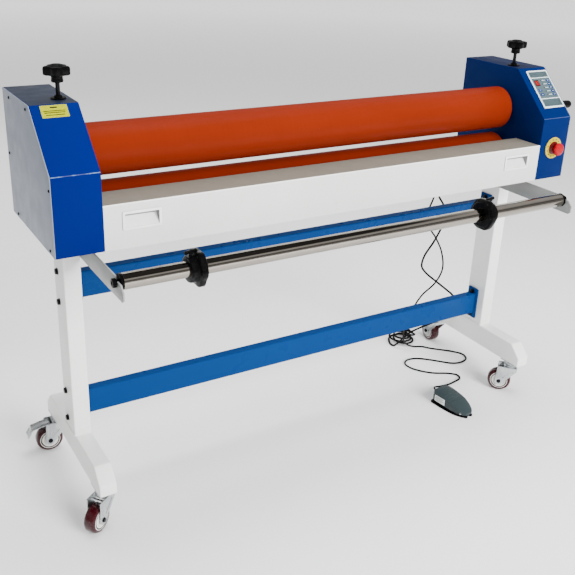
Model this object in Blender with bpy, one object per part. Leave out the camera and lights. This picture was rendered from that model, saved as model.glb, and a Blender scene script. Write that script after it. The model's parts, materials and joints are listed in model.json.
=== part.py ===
"""Cold roll laminator on a wheeled stand, 1.3 m class.

Metres, +Z up.  The machine is modelled about its own middle: +X to the operator's right,
+Y away from the operator, y = 0 on the rollers' axes and z = 0 on the floor.  Every object
is then carried by one empty, which puts the middle of the machine's box at the world origin.
"""
import math

import bmesh
import bpy
from mathutils import Matrix, Vector

# ---------------------------------------------------------------- driving dimensions
BOX_CENTRE = (0.0416, -0.0131)
GAP = 0.0003                     # clearance between pieces that rest on each other

# rollers
ROLLER_RADIUS = 0.0625
ROLLER_HALF_LENGTH = 0.655
CORE_RADIUS = 0.040
JOURNAL_RADIUS = 0.015
CORE_END_X = 0.8015
LOWER_AXIS_Z = 0.787
NIP_AT_REST = 0.016
UPPER_AXIS_Z = LOWER_AXIS_Z + 2 * ROLLER_RADIUS + NIP_AT_REST
LIFT_DOWN = 0.0155
LIFT_UP = 0.012

# side housings
HOUSING_INNER_X = 0.670
HOUSING_OUTER_X = 0.782
HOUSING_FRONT_Y = -0.179
HOUSING_BACK_Y = 0.177
HOUSING_BOTTOM_Z = 0.741
HOUSING_TOP_Z = 1.051
SLANT_BOTTOM_Z = 0.925
SLANT_TOP_Y = -0.049
SHEET = 0.002

# stand
LEG_X = 0.705                    # middle of a leg, a foot and a frame plate's knob
LEG_WIDTH = 0.044
LEG_DEPTH = 0.080
STAND_Y = 0.008
TUBE_WALL = 0.0025
FOOT_BOTTOM_Z = 0.112
FOOT_TOP_Z = 0.181
FOOT_HALF_LENGTH = 0.226
FOOT_CHAMFER = 0.038
BEAM_Y = 0.018
BEAM_DEPTH = 0.030
BEAM_HEIGHT = 0.070
BEAM_HEIGHTS = {"upper": 0.588, "lower": 0.252}
FLANGE_HEIGHT = 0.106
FLANGE_DEPTH = 0.044
FLANGE_THICKNESS = 0.006

# frame plates, bearings and pressure screws
PLATE_X = (0.693, 0.707)
SCREW_X = 0.700
SCREW_RADIUS = 0.006
BLOCK_X = (0.6905, 0.7095)
BLOCK_HALF = 0.0297
BEARING_RADIUS = 0.031
KNOB_RADIUS = 0.031
KNOB_BOTTOM_Z = 1.088
KNOB_TOP_Z = 1.127

# feed table
TABLE_BACK_Y = -0.080
TABLE_BOTTOM_Z = 0.740
TABLE_TOP_Z = 0.848
TABLE_HALF_LENGTH = 0.6695
PIN_Y = (-0.150, -0.100)         # pins on the housings, which the table hangs on
PIN_Z = 0.760
PIN_RADIUS = 0.004
PIN_LENGTH = 0.0055
PULL_X = 0.580
PULL_Z = 0.807
CUP_HALF = (0.044, 0.019)         # of a pull's cup, in x and z
CUP_DEPTH = 0.018

# supply shaft, its arms and core stoppers
SHAFT_Y = -0.280
SHAFT_Z = 0.7095
SHAFT_RADIUS = 0.019
STUB_RADIUS = 0.006
ARM_X = (0.6787, 0.6827)
ARM_Y = (0.040, -0.320)
ARM_Z = (0.675, 0.723, 0.7135)    # lower edge, upper edge, and the lip in front of the notch
STOPPER_X = {"left": -0.495, "right": 0.378}

# drive
MOTOR_Y = 0.105
CHAIN_X = (0.7285, 0.7355)
CHAIN_PITCH = 0.009525
TEETH = {"roller": 18, "motor": 12}
CRANK_X = 0.7995
GRIP_Y = -0.081
GRIP_Z = 0.936
GRIP_LENGTH = 0.075

# controls
PANEL_X = (0.692, 0.775)
PANEL_REACH = (0.036, 0.168)     # its two edges, measured up the desk
PANEL_THICKNESS = 0.003
ESTOP = (0.724, 0.836)           # x and z of the emergency stop on the front
ESTOP_BORE = 0.0083

# casters
WHEEL_RADIUS = 0.0375
WHEEL_WIDTH = 0.032
CASTER_TRAIL = 0.032
FORK_INNER = 0.0185               # half the space between a fork's cheeks
FORK_SHEET = 0.003
AXLE_RADIUS = 0.0035
CASTERS = {                       # swivel axis, and the way the wheel trails
    "front_left": (-LEG_X, -0.173, math.radians(216)),
    "front_right": (LEG_X, -0.173, math.radians(131)),
    "rear_left": (-LEG_X, 0.204, math.radians(176)),
    "rear_right": (LEG_X, 0.204, math.radians(85)),
}
BRAKE_PIN = (0.0315, 0.0860)     # distance from the swivel's axis, and height

# foot switch
SWITCH_CENTRE = (0.463, -0.1745)
SWITCH_TURN = math.radians(-83)  # the low end points this way from the middle
SWITCH_LENGTH = 0.138
SWITCH_WIDTH = 0.072
SWITCH_HINGE = (SWITCH_LENGTH / 2 - 0.006, 0, 0.012)
SWITCH_GLAND = (-0.081, 0.020, 0.014)

# cords, by radius and by the points their routes pass through
PEDAL_CORD_RADIUS = 0.003
POWER_CORD_RADIUS = 0.0035
CORD_GAP = 0.0005                # clearance at a cord's cut ends
GLAND_X = 0.652                  # the glands' mouths, on the right housing's inner wall
PEDAL_GLAND = (0.112, 0.778)     # y and z
POWER_GLAND = (0.146, 0.778)
COIL_CENTRE = (0.598, 0.270)
COIL_RADIUS = 0.050
COIL_INNER_RADIUS = 0.021
COIL_HEIGHT = 0.030
COIL_ROUNDING = 0.004
PLUG_AXIS = (COIL_CENTRE[0] + COIL_RADIUS + 0.006, 0, 0.0182)
PLUG_START_Y = COIL_CENTRE[1] + 0.004

COLOURS = {
    "blue": (0.012, 0.085, 0.36),
    "beam_blue": (0.01, 0.14, 0.45),
    "grey_cover": (0.33, 0.36, 0.42),
    "light_grey": (0.74, 0.76, 0.74),
    "white": (0.86, 0.87, 0.85),
    "silicone": (0.55, 0.07, 0.015),
    "steel": (0.55, 0.55, 0.56),
    "chrome": (0.78, 0.76, 0.72),
    "zinc": (0.70, 0.72, 0.72),
    "burgundy": (0.10, 0.006, 0.014),
    "black": (0.012, 0.012, 0.013),
    "yellow": (0.85, 0.55, 0.01),
    "red": (0.55, 0.01, 0.008),
    "panel": (0.20, 0.28, 0.27),
    "pedal_grey": (0.07, 0.10, 0.11),
}
METALS = {"steel", "chrome", "zinc"}


# ---------------------------------------------------------------- shaping tools
def material(colour):
    """The Principled material of this colour, made the first time it is asked for."""
    made = bpy.data.materials.get(colour)
    if made:
        return made
    made = bpy.data.materials.new(colour)
    made.use_nodes = True
    shader = made.node_tree.nodes["Principled BSDF"]
    shader.inputs["Base Color"].default_value = (*COLOURS[colour], 1.0)
    shader.inputs["Metallic"].default_value = 1.0 if colour in METALS else 0.0
    shader.inputs["Roughness"].default_value = 0.25 if colour in METALS else 0.45
    made.diffuse_color = (*COLOURS[colour], 1.0)
    return made


def to_object(name, bm):
    """Turn a bmesh into a linked object whose faces point out."""
    bmesh.ops.recalc_face_normals(bm, faces=bm.faces)
    mesh = bpy.data.meshes.new(name)
    bm.to_mesh(mesh)
    bm.free()
    made = bpy.data.objects.new(name, mesh)
    bpy.context.collection.objects.link(made)
    return made


def block(x, y, z):
    """A box between the two limits given on each axis."""
    bm = bmesh.new()
    bmesh.ops.create_cube(bm, size=1.0)
    size = Vector((x[1] - x[0], y[1] - y[0], z[1] - z[0]))
    middle = Vector(((x[0] + x[1]) / 2, (y[0] + y[1]) / 2, (z[0] + z[1]) / 2))
    placed = Matrix.Translation(middle) @ Matrix.Diagonal((*size, 1.0))
    bmesh.ops.transform(bm, matrix=placed, verts=bm.verts)
    return to_object("block", bm)


def along(axis):
    """The turn that carries +Z on to the named axis."""
    return {
        "X": Matrix.Rotation(math.pi / 2, 4, "Y"),
        "Y": Matrix.Rotation(-math.pi / 2, 4, "X"),
        "Z": Matrix.Identity(4),
    }[axis]


def turned(profile, axis, centre, sides=20, ring=False):
    """Spin (position along the axis, radius) points about an axis through centre.

    A ring profile is closed on itself; any other starts and ends on the axis.
    """
    bm = bmesh.new()
    points = [bm.verts.new((radius, 0.0, place)) for place, radius in profile]
    pairs = list(zip(points, points[1:]))
    if ring:
        pairs.append((points[-1], points[0]))
    edges = [bm.edges.new(pair) for pair in pairs]
    bmesh.ops.spin(bm, geom=points + edges, cent=(0, 0, 0), axis=(0, 0, 1), angle=math.tau, steps=sides)
    bmesh.ops.remove_doubles(bm, verts=bm.verts, dist=1e-6)
    bmesh.ops.transform(bm, matrix=Matrix.Translation(centre) @ along(axis), verts=bm.verts)
    return to_object("turned", bm)


def rod(radius, axis, span, centre, sides=20):
    """A plain round bar over span along the axis."""
    profile = [(span[0], 0), (span[0], radius), (span[1], radius), (span[1], 0)]
    return turned(profile, axis, centre, sides)


def prism(outline, axis, span):
    """Extrude a flat outline; its points are the two other axes in X, Y, Z order."""
    order = {"X": (2, 0, 1), "Y": (0, 2, 1), "Z": (0, 1, 2)}[axis]
    bm = bmesh.new()
    corners = []
    for first, second in outline:
        values = (first, second, span[0])
        corners.append(bm.verts.new([values[place] for place in order]))
    face = bm.faces.new(corners)
    grown = bmesh.ops.extrude_face_region(bm, geom=[face])["geom"]
    step = Vector([(0.0, 0.0, span[1] - span[0])[place] for place in order])
    far_end = [item for item in grown if isinstance(item, bmesh.types.BMVert)]
    bmesh.ops.translate(bm, vec=step, verts=far_end)
    return to_object("prism", bm)


def baked(target, tools, operation):
    """Apply an exact Boolean of each tool to the target, and drop the tools."""
    for tool in tools:
        step = target.modifiers.new("boolean", "BOOLEAN")
        step.operation = operation
        step.solver = "EXACT"
        step.object = tool
        graph = bpy.context.evaluated_depsgraph_get()
        target.data = bpy.data.meshes.new_from_object(target.evaluated_get(graph))
        target.modifiers.clear()
        bpy.data.objects.remove(tool)
    return target


def cut(target, *tools):
    return baked(target, tools, "DIFFERENCE")


def joined(target, *tools):
    return baked(target, tools, "UNION")


def finish(name, made, colour, pivot=(0, 0, 0), smooth=True):
    """Name a piece, give it its material and put its origin on its pivot."""
    made.name = name
    made.data.name = name
    made.data.transform(Matrix.Translation(-Vector(pivot)))
    made.location = pivot
    made.data.materials.clear()
    made.data.materials.append(material(colour))
    if smooth:
        made.data.shade_smooth()
        made.data.set_sharp_from_angle(angle=math.radians(35))
    made.parent = machine
    return made


def span(side, low, high):
    """The limits of a stretch of x on the left (side -1) or the right (side +1)."""
    return (min(side * low, side * high), max(side * low, side * high))


def arc(centre, radius, start, end, steps):
    """Points along a circle, by angles in degrees."""
    points = []
    for index in range(steps + 1):
        angle = math.radians(start + (end - start) * index / steps)
        points.append((centre[0] + radius * math.cos(angle), centre[1] + radius * math.sin(angle)))
    return points


def smooth_route(points, count):
    """Even points along a centripetal Catmull-Rom curve through the given points."""
    knots = [Vector(point) for point in points]
    knots = [2 * knots[0] - knots[1]] + knots + [2 * knots[-1] - knots[-2]]
    dense = []
    for a, b, c, d in zip(knots, knots[1:], knots[2:], knots[3:]):
        t1 = (b - a).length ** 0.5
        t2 = t1 + (c - b).length ** 0.5
        t3 = t2 + (d - c).length ** 0.5
        for index in range(24):
            t = t1 + (t2 - t1) * index / 24
            ab = a.lerp(b, t / t1)
            bc = b.lerp(c, (t - t1) / (t2 - t1))
            cd = c.lerp(d, (t - t2) / (t3 - t2))
            abc = ab.lerp(bc, t / t2)
            bcd = bc.lerp(cd, (t - t1) / (t3 - t1))
            dense.append(abc.lerp(bcd, (t - t1) / (t2 - t1)))
    dense.append(knots[-2])
    lengths = [0.0]
    for first, second in zip(dense, dense[1:]):
        lengths.append(lengths[-1] + (second - first).length)
    even = []
    place = 0
    for index in range(count):
        wanted = lengths[-1] * index / (count - 1)
        while place < len(dense) - 2 and lengths[place + 1] < wanted:
            place += 1
        part = (wanted - lengths[place]) / (lengths[place + 1] - lengths[place])
        even.append(dense[place].lerp(dense[place + 1], min(part, 1.0)))
    return even


# ---------------------------------------------------------------- clear the scene
for leftover in list(bpy.data.objects):
    bpy.data.objects.remove(leftover)
machine = bpy.data.objects.new("machine", None)
bpy.context.collection.objects.link(machine)
machine.location = (-BOX_CENTRE[0], -BOX_CENTRE[1], 0)

SIDES = {"left": -1, "right": 1}


# ---------------------------------------------------------------- stand
def leg_post(side):
    x = span(side, LEG_X - LEG_WIDTH / 2, LEG_X + LEG_WIDTH / 2)
    y = (STAND_Y - LEG_DEPTH / 2, STAND_Y + LEG_DEPTH / 2)
    z = (FOOT_TOP_Z + GAP, HOUSING_BOTTOM_Z - GAP)
    post = block(x, y, z)
    inside_x = (x[0] + TUBE_WALL, x[1] - TUBE_WALL)
    inside_y = (y[0] + TUBE_WALL, y[1] - TUBE_WALL)
    cap = 0.006
    hollow = block(inside_x, inside_y, (z[0] - 0.01, z[1] - cap))
    bolt_hole = rod(0.006, "Z", (z[1] - 0.02, z[1] + 0.02), (side * LEG_X, STAND_Y, 0), 12)
    return cut(post, hollow, bolt_hole)


def foot_outline(inset):
    """The side view of a foot, with both ends sloped and then square."""
    half = FOOT_HALF_LENGTH - inset
    low = FOOT_BOTTOM_Z + inset
    high = FOOT_TOP_Z - inset
    front = [(-half, low), (-half, high - FOOT_CHAMFER), (-half + FOOT_CHAMFER, high)]
    back = [(-y, z) for y, z in reversed(front)]
    return [(y + STAND_Y, z) for y, z in front + back]


def foot_beam(side):
    x = span(side, LEG_X - LEG_WIDTH / 2, LEG_X + LEG_WIDTH / 2)
    foot = prism(foot_outline(0), "X", x)
    hollow = prism(foot_outline(TUBE_WALL), "X", (x[0] + TUBE_WALL, x[1] - TUBE_WALL))
    access_z = (FOOT_BOTTOM_Z - 0.01, FOOT_BOTTOM_Z + 0.02)
    access = rod(0.011, "Z", access_z, (side * LEG_X, STAND_Y, 0), 16)
    return cut(foot, hollow, access)


def cross_beam(height):
    """A rectangular tube with a bolting flange at each end, open through the flanges."""
    reach = LEG_X - LEG_WIDTH / 2 - GAP
    y = (BEAM_Y - BEAM_DEPTH / 2, BEAM_Y + BEAM_DEPTH / 2)
    z = (height - BEAM_HEIGHT / 2, height + BEAM_HEIGHT / 2)
    beam = block((-reach + 0.001, reach - 0.001), y, z)
    flange_y = (BEAM_Y - FLANGE_DEPTH / 2, BEAM_Y + FLANGE_DEPTH / 2)
    flange_z = (height - FLANGE_HEIGHT / 2, height + FLANGE_HEIGHT / 2)
    for side in SIDES.values():
        flange_x = span(side, reach - FLANGE_THICKNESS, reach)
        beam = joined(beam, block(flange_x, flange_y, flange_z))
    inside_y = (y[0] + TUBE_WALL, y[1] - TUBE_WALL)
    inside_z = (z[0] + TUBE_WALL, z[1] - TUBE_WALL)
    return cut(beam, block((-reach - 0.01, reach + 0.01), inside_y, inside_z))


def shaft_arm(side):
    """A steel strip beside the leg, with an open notch for the supply shaft's stub."""
    low, high, lip = ARM_Z
    back, tip = ARM_Y
    wide = STUB_RADIUS + GAP
    notch = arc((SHAFT_Y, SHAFT_Z), wide, 180, 360, 8)
    nose = [(tip + 0.008, low), (tip, low + 0.006), (tip, lip - 0.0145), (tip + 0.014, lip)]
    outline = [(back, low)] + nose
    outline += [(SHAFT_Y - wide, lip)] + notch + [(SHAFT_Y + wide, high), (back, high)]
    return prism(outline, "X", span(side, *ARM_X))


for name, side in SIDES.items():
    finish(f"{name}_leg_post", leg_post(side), "light_grey", smooth=False)
    finish(f"{name}_foot_beam", foot_beam(side), "light_grey", smooth=False)
    finish(f"{name}_shaft_arm", shaft_arm(side), "light_grey", smooth=False)
for name, height in BEAM_HEIGHTS.items():
    finish(f"{name}_cross_beam", cross_beam(height), "beam_blue", smooth=False)


# ---------------------------------------------------------------- casters, about the swivel's axis
def caster_plate():
    """Fixing plate, ball race and kingpin as they stand under the foot."""
    top = FOOT_BOTTOM_Z - GAP
    plate = block((-0.022, 0.022), (-0.031, 0.031), (top - 0.003, top))
    profile = [(0.0885, 0), (0.0885, 0.005), (0.0998, 0.005), (0.0998, 0.017), (0.104, 0.020)]
    race = turned(profile + [(top - 0.002, 0.020), (top - 0.002, 0)], "Z", (0, 0, 0), 16)
    return joined(plate, race)


def caster_fork():
    """Folded fork with its crown, ring and axle; the wheel turns on the axle."""
    tip = arc((CASTER_TRAIL, WHEEL_RADIUS), 0.013, 20, -160, 8)
    outline = [(-0.021, 0.0805), (-0.021, 0.0925), (0.041, 0.0925)] + tip
    outer = FORK_INNER + FORK_SHEET
    fork = prism(outline, "Y", (-outer, outer))
    wheel_space = block((-0.05, 0.08), (-FORK_INNER, FORK_INNER), (0.0, 0.0815))
    pedal_space = block((0.0225, 0.08), (-FORK_INNER, FORK_INNER), (0.07, 0.12))
    fork = cut(fork, wheel_space, pedal_space)
    ring = rod(0.021, "Z", (0.090, 0.0995), (0, 0, 0), 24)
    head = outer - 0.0005
    end = outer + 0.003
    axle_profile = [(-end, 0), (-end, 0.006), (-head, 0.006), (-head, AXLE_RADIUS),
                    (head, AXLE_RADIUS), (head, 0.006), (end, 0.006), (end, 0)]
    axle = turned(axle_profile, "Y", (CASTER_TRAIL, 0, WHEEL_RADIUS), 12)
    fork = joined(fork, ring, axle)
    return cut(fork, rod(0.0054, "Z", (0.07, 0.12), (0, 0, 0), 16))


def caster_wheel():
    """Tread, hub and bearing bore, turned about the axle."""
    half = WHEEL_WIDTH / 2
    hub = half - 0.0035
    bore = AXLE_RADIUS + GAP
    right = [(0.007, WHEEL_RADIUS), (half - 0.003, WHEEL_RADIUS - 0.002), (half, WHEEL_RADIUS - 0.0065)]
    right += [(half, 0.027), (hub, 0.0255), (hub, 0.010), (half, 0.010), (half, bore)]
    left = [(-place, radius) for place, radius in reversed(right)]
    return turned(left + right, "Y", (0, 0, 0), ring=True)


def brake_pedal():
    """Lever hinged between the fork's cheeks, above the wheel."""
    under = [(-0.001, 0.0015), (0.020, -0.0015), (0.0455, -0.0085), (0.0590, -0.0300)]
    outline = under + [(0.0622, -0.0288), (0.0488, -0.0062), (0.021, 0.0012), (-0.001, 0.0040)]
    lever = prism(outline, "Y", (-FORK_INNER + 0.002, FORK_INNER - 0.002))
    barrel = rod(0.004, "Y", (-FORK_INNER + 0.0007, FORK_INNER - 0.0007), (0, 0, 0), 16)
    return joined(barrel, lever)


meshes = {"plate": caster_plate(), "fork": caster_fork(), "wheel": caster_wheel(), "brake": brake_pedal()}


def caster_piece(name, kind, colour, corner, reach=0.0, height=0.0):
    """Set a copy of a caster piece at a corner, reach out along the trail and at this height."""
    x, y, turn = CASTERS[corner]
    made = bpy.data.objects.new(name, meshes[kind].data.copy())
    bpy.context.collection.objects.link(made)
    finish(name, made, colour)
    made.location = (x + reach * math.cos(turn), y + reach * math.sin(turn), height)
    made.rotation_euler = (0, 0, 0 if kind == "plate" else turn)


for corner in CASTERS:
    caster_piece(f"{corner}_caster_plate", "plate", "zinc", corner)
    caster_piece(f"{corner}_caster_fork", "fork", "zinc", corner)
    caster_piece(f"{corner}_caster_wheel", "wheel", "burgundy", corner, CASTER_TRAIL, WHEEL_RADIUS)
    if corner.startswith("rear"):
        caster_piece(f"{corner}_brake_pedal", "brake", "zinc", corner, *BRAKE_PIN)
for pattern in meshes.values():
    bpy.data.objects.remove(pattern)


# ---------------------------------------------------------------- side frames and housings
def frame_plate(side):
    """Load-bearing side plate with the block's window and the pressure screw's nut."""
    half, low, high = 0.130, HOUSING_BOTTOM_Z + SHEET + GAP, 1.010
    outline = [(-half, low), (half, low), (half, high), (-0.080, high), (-half, high - 0.048)]
    plate = prism(outline, "X", span(side, *PLATE_X))
    through = span(side, 0.68, 0.72)
    window_low = UPPER_AXIS_Z - BLOCK_HALF - LIFT_DOWN - 0.004
    window_high = UPPER_AXIS_Z + BLOCK_HALF + LIFT_UP + 0.006
    window = block(through, (-BLOCK_HALF - GAP, BLOCK_HALF + GAP), (window_low, window_high))
    bearing_hole = rod(BEARING_RADIUS + GAP, "X", through, (0, 0, LOWER_AXIS_Z))
    plate = cut(plate, window, bearing_hole)
    nut_x = span(side, SCREW_X - 0.015, SCREW_X + 0.015)
    plate = joined(plate, block(nut_x, (-0.020, 0.020), (window_high + 0.002, high - 0.002)))
    return cut(plate, rod(SCREW_RADIUS + GAP, "Z", (0.95, 1.03), (side * SCREW_X, 0, 0), 20))


def housing_outline(inset):
    """The side view of a housing: square back, and a sloped desk above the front."""
    slope = Vector((SLANT_TOP_Y - HOUSING_FRONT_Y, HOUSING_TOP_Z - SLANT_BOTTOM_Z)).normalized()
    lean = inset * (1 - slope.x) / slope.y
    drop = inset * (1 - slope.y) / slope.x
    return [
        (HOUSING_FRONT_Y + inset, HOUSING_BOTTOM_Z + inset),
        (HOUSING_BACK_Y - inset, HOUSING_BOTTOM_Z + inset),
        (HOUSING_BACK_Y - inset, HOUSING_TOP_Z - inset),
        (SLANT_TOP_Y + lean, HOUSING_TOP_Z - inset),
        (HOUSING_FRONT_Y + inset, SLANT_BOTTOM_Z - drop),
    ]


def housing(side):
    """Folded sheet-metal box, open on its outer side, with pins that carry the feed table."""
    cover_x = HOUSING_OUTER_X - SHEET - GAP
    shell = prism(housing_outline(0), "X", span(side, HOUSING_INNER_X, cover_x))
    shell = cut(shell, prism(housing_outline(SHEET), "X", span(side, HOUSING_INNER_X + SHEET, 0.80)))
    wall = span(side, HOUSING_INNER_X - 0.01, HOUSING_INNER_X + 0.01)
    clear = JOURNAL_RADIUS + 0.003
    slot_z = (UPPER_AXIS_Z - LIFT_DOWN - clear, UPPER_AXIS_Z + LIFT_UP + clear)
    slot = block(wall, (-clear, clear), slot_z)
    lower_hole = rod(clear, "X", wall, (0, 0, LOWER_AXIS_Z), 24)
    screw_hole = rod(0.0075, "Z", (1.04, 1.06), (side * SCREW_X, 0, 0), 20)
    shell = cut(shell, slot, lower_hole, screw_hole)
    if side > 0:
        front_wall = (HOUSING_FRONT_Y - 0.01, HOUSING_FRONT_Y + 0.01)
        shell = cut(shell, rod(ESTOP_BORE + 0.0007, "Y", front_wall, (ESTOP[0], 0, ESTOP[1]), 24))
    pin_x = span(side, HOUSING_INNER_X - PIN_LENGTH, HOUSING_INNER_X + 0.001)
    for y in PIN_Y:
        shell = joined(shell, rod(PIN_RADIUS, "X", pin_x, (0, y, PIN_Z), 12))
    return shell


def outer_cover(side):
    cover = prism(housing_outline(0), "X", span(side, HOUSING_OUTER_X - SHEET, HOUSING_OUTER_X))
    if side > 0:
        cover = cut(cover, rod(0.017, "X", (0.77, 0.79), (0, 0, LOWER_AXIS_Z), 24))
    return cover


for name, side in SIDES.items():
    finish(f"{name}_frame_plate", frame_plate(side), "steel")
    finish(f"{name}_housing", housing(side), "blue", smooth=False)
    finish(f"{name}_outer_cover", outer_cover(side), "grey_cover", smooth=False)


# ---------------------------------------------------------------- rollers and bearings
def sleeve(height):
    """Silicone rubber tube bonded on the core."""
    inner = CORE_RADIUS + GAP
    end = ROLLER_HALF_LENGTH
    profile = [(-end, inner), (-end, ROLLER_RADIUS - 0.001), (-end + 0.001, ROLLER_RADIUS),
               (end - 0.001, ROLLER_RADIUS), (end, ROLLER_RADIUS - 0.001), (end, inner)]
    return turned(profile, "X", (0, 0, height), 36, ring=True)


def core(height, right_end):
    """Hollow steel core with a journal at each end; a fine drilling vents the inside."""
    wall = CORE_RADIUS - 0.005
    end = ROLLER_HALF_LENGTH
    vent = 0.003
    outer = [(-0.7125, JOURNAL_RADIUS), (-end, JOURNAL_RADIUS), (-end, CORE_RADIUS),
             (end, CORE_RADIUS), (end, JOURNAL_RADIUS)]
    if right_end > 0.75:
        outer += [(0.7125, JOURNAL_RADIUS), (0.7125, 0.012), (right_end, 0.012)]
    else:
        outer += [(right_end, JOURNAL_RADIUS)]
    inner = [(right_end, vent), (end - 0.010, vent), (end - 0.010, wall), (-end + 0.010, wall),
             (-end + 0.010, vent), (-0.7125, vent)]
    return turned(outer + inner, "X", (0, 0, height), ring=True)


upper_axis = (0, 0, UPPER_AXIS_Z)
lower_axis = (0, 0, LOWER_AXIS_Z)
finish("upper_roller_sleeve", sleeve(UPPER_AXIS_Z), "silicone", upper_axis)
finish("lower_roller_sleeve", sleeve(LOWER_AXIS_Z), "silicone", lower_axis)
finish("upper_roller_core", core(UPPER_AXIS_Z, 0.7125), "steel", upper_axis)
finish("lower_roller_core", core(LOWER_AXIS_Z, CORE_END_X), "steel", lower_axis)


def bearing_block(side):
    """Sliding block that carries an end of the upper roller."""
    z = (UPPER_AXIS_Z - BLOCK_HALF, UPPER_AXIS_Z + BLOCK_HALF)
    made = block(span(side, *BLOCK_X), (-BLOCK_HALF, BLOCK_HALF), z)
    return cut(made, rod(JOURNAL_RADIUS + GAP, "X", span(side, 0.68, 0.72), upper_axis))


def flange_bearing(side):
    """Round bearing set in the frame plate for the lower roller."""
    bore = JOURNAL_RADIUS + GAP
    low, high = BLOCK_X
    flange = PLATE_X[0] - GAP
    rim = BEARING_RADIUS + 0.005
    profile = [(low, bore), (low, rim), (flange, rim), (flange, BEARING_RADIUS), (high, BEARING_RADIUS)]
    profile += [(high, bore)]
    return turned([(side * place, radius) for place, radius in profile], "X", lower_axis, ring=True)


for name, side in SIDES.items():
    finish(f"{name}_bearing_block", bearing_block(side), "steel", (side * SCREW_X, 0, UPPER_AXIS_Z))
    finish(f"{name}_flange_bearing", flange_bearing(side), "steel", lower_axis)


# ---------------------------------------------------------------- pressure knobs
def lobed(radius, depth, lobes, centre, steps=6):
    """A round outline with shallow scallops between its lobes."""
    points = []
    for index in range(lobes * steps):
        angle = math.tau * index / (lobes * steps)
        reach = radius - depth * (1 - math.cos(lobes * angle)) / 2
        points.append((centre[0] + reach * math.cos(angle), centre[1] + reach * math.sin(angle)))
    return points


def pressure_knob(side):
    """Five-lobed knob moulded on to its long screw, which pushes the bearing block."""
    place = (side * SCREW_X, 0, 0)
    hub_top = KNOB_BOTTOM_Z + 0.016
    head = prism(lobed(KNOB_RADIUS, 0.006, 5, place), "Z", (hub_top - 0.001, KNOB_TOP_Z - 0.003))
    hub_profile = [(KNOB_BOTTOM_Z, 0), (KNOB_BOTTOM_Z, 0.014), (hub_top, 0.012), (hub_top, 0)]
    hub = turned(hub_profile, "Z", place, 24)
    block_top = UPPER_AXIS_Z + BLOCK_HALF
    screw = turned([(block_top + GAP, 0), (block_top + GAP, SCREW_RADIUS), (1.040, SCREW_RADIUS),
                    (1.042, 0.005), (hub_top, 0.005), (hub_top, 0)], "Z", place, 20)
    cap_z = KNOB_TOP_Z - 0.006
    cap = turned([(cap_z, 0), (cap_z, 0.022), (KNOB_TOP_Z, 0.016), (KNOB_TOP_Z, 0)], "Z", place, 24)
    return joined(head, hub, screw, cap)


for name, side in SIDES.items():
    finish(f"{name}_pressure_knob", pressure_knob(side), "black", (side * SCREW_X, 0, UPPER_AXIS_Z))


# ---------------------------------------------------------------- feed table
def pull_pocket(side, grow, front, back):
    """The box that a pull's cup fills, grown on its four sides."""
    half_x, half_z = (size + grow for size in CUP_HALF)
    x = (side * PULL_X - half_x, side * PULL_X + half_x)
    return block(x, (front, back), (PULL_Z - half_z, PULL_Z + half_z))


def feed_table():
    """Folded sheet with a lip at the rollers and an end plate at each side."""
    front = HOUSING_FRONT_Y
    back = TABLE_BACK_Y
    low = TABLE_BOTTOM_Z
    high = TABLE_TOP_Z
    lip = 0.024
    fold = front + 0.045
    outer = [(back, high - lip), (back, high), (front, high)]
    inner = [(front + SHEET, low + SHEET), (front + SHEET, high - SHEET), (back - SHEET, high - SHEET)]
    inner += [(back - SHEET, high - lip)]
    outline = [(front, low), (fold, low), (fold, low + SHEET)] + inner + outer
    end = TABLE_HALF_LENGTH
    table = prism(outline, "X", (-end, end))
    side_view = [(front, low), (back, low), (back, high), (front, high)]
    for side in SIDES.values():
        table = joined(table, prism(side_view, "X", span(side, end - SHEET, end)))
        table = cut(table, pull_pocket(side, GAP, front - 0.01, front + 0.01))
        for y in PIN_Y:
            wide = PIN_RADIUS + GAP
            slot_x = span(side, HOUSING_INNER_X - PIN_LENGTH - 0.001, HOUSING_INNER_X)
            slot = [(y - wide, low - 0.01), (y + wide, low - 0.01)] + arc((y, PIN_Z), wide, 0, 180, 8)
            table = cut(table, prism(slot, "X", slot_x))
    return table


def table_pull(side):
    """Recessed plastic pull: a flange on the sheet, and a cup whose floor slopes up to its back."""
    sheet = HOUSING_FRONT_Y - GAP
    front = sheet - 0.0025
    wall = 0.003
    x = (side * PULL_X - CUP_HALF[0] - wall, side * PULL_X + CUP_HALF[0] + wall)
    flange = block(x, (front, sheet), (PULL_Z - CUP_HALF[1] - wall, PULL_Z + CUP_HALF[1] + wall))
    made = joined(flange, pull_pocket(side, 0, sheet - 0.001, sheet + CUP_DEPTH))
    back = sheet + CUP_DEPTH - 0.0025
    low = PULL_Z - CUP_HALF[1] + wall
    high = PULL_Z + CUP_HALF[1] - wall
    clear = front - 0.01
    scoop = [(clear, low), (front + 0.0008, low), (back, low + 0.022), (back, high), (clear, high)]
    return cut(made, prism(scoop, "X", (x[0] + 2 * wall, x[1] - 2 * wall)))


finish("feed_table", feed_table(), "white", smooth=False)
for name, side in SIDES.items():
    finish(f"{name}_table_pull", table_pull(side), "white", smooth=False)


# ---------------------------------------------------------------- drive and hand crank
def pitch_radius(teeth):
    return CHAIN_PITCH / (2 * math.sin(math.pi / teeth))


def sprocket(teeth, bore, centre):
    """Toothed disc for the roller chain."""
    radius = pitch_radius(teeth)
    points = []
    for index in range(teeth):
        for share, reach in ((-0.30, -0.0028), (-0.12, 0.0022), (0.12, 0.0022), (0.30, -0.0028)):
            angle = math.tau * (index + share) / teeth
            points.append((centre[0] + (radius + reach) * math.cos(angle),
                           centre[1] + (radius + reach) * math.sin(angle)))
    middle = (CHAIN_X[0] + CHAIN_X[1]) / 2
    disc = prism(points, "X", (middle - 0.0025, middle + 0.0025))
    return cut(disc, rod(bore, "X", (0.70, 0.76), (0, *centre), 20))


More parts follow.
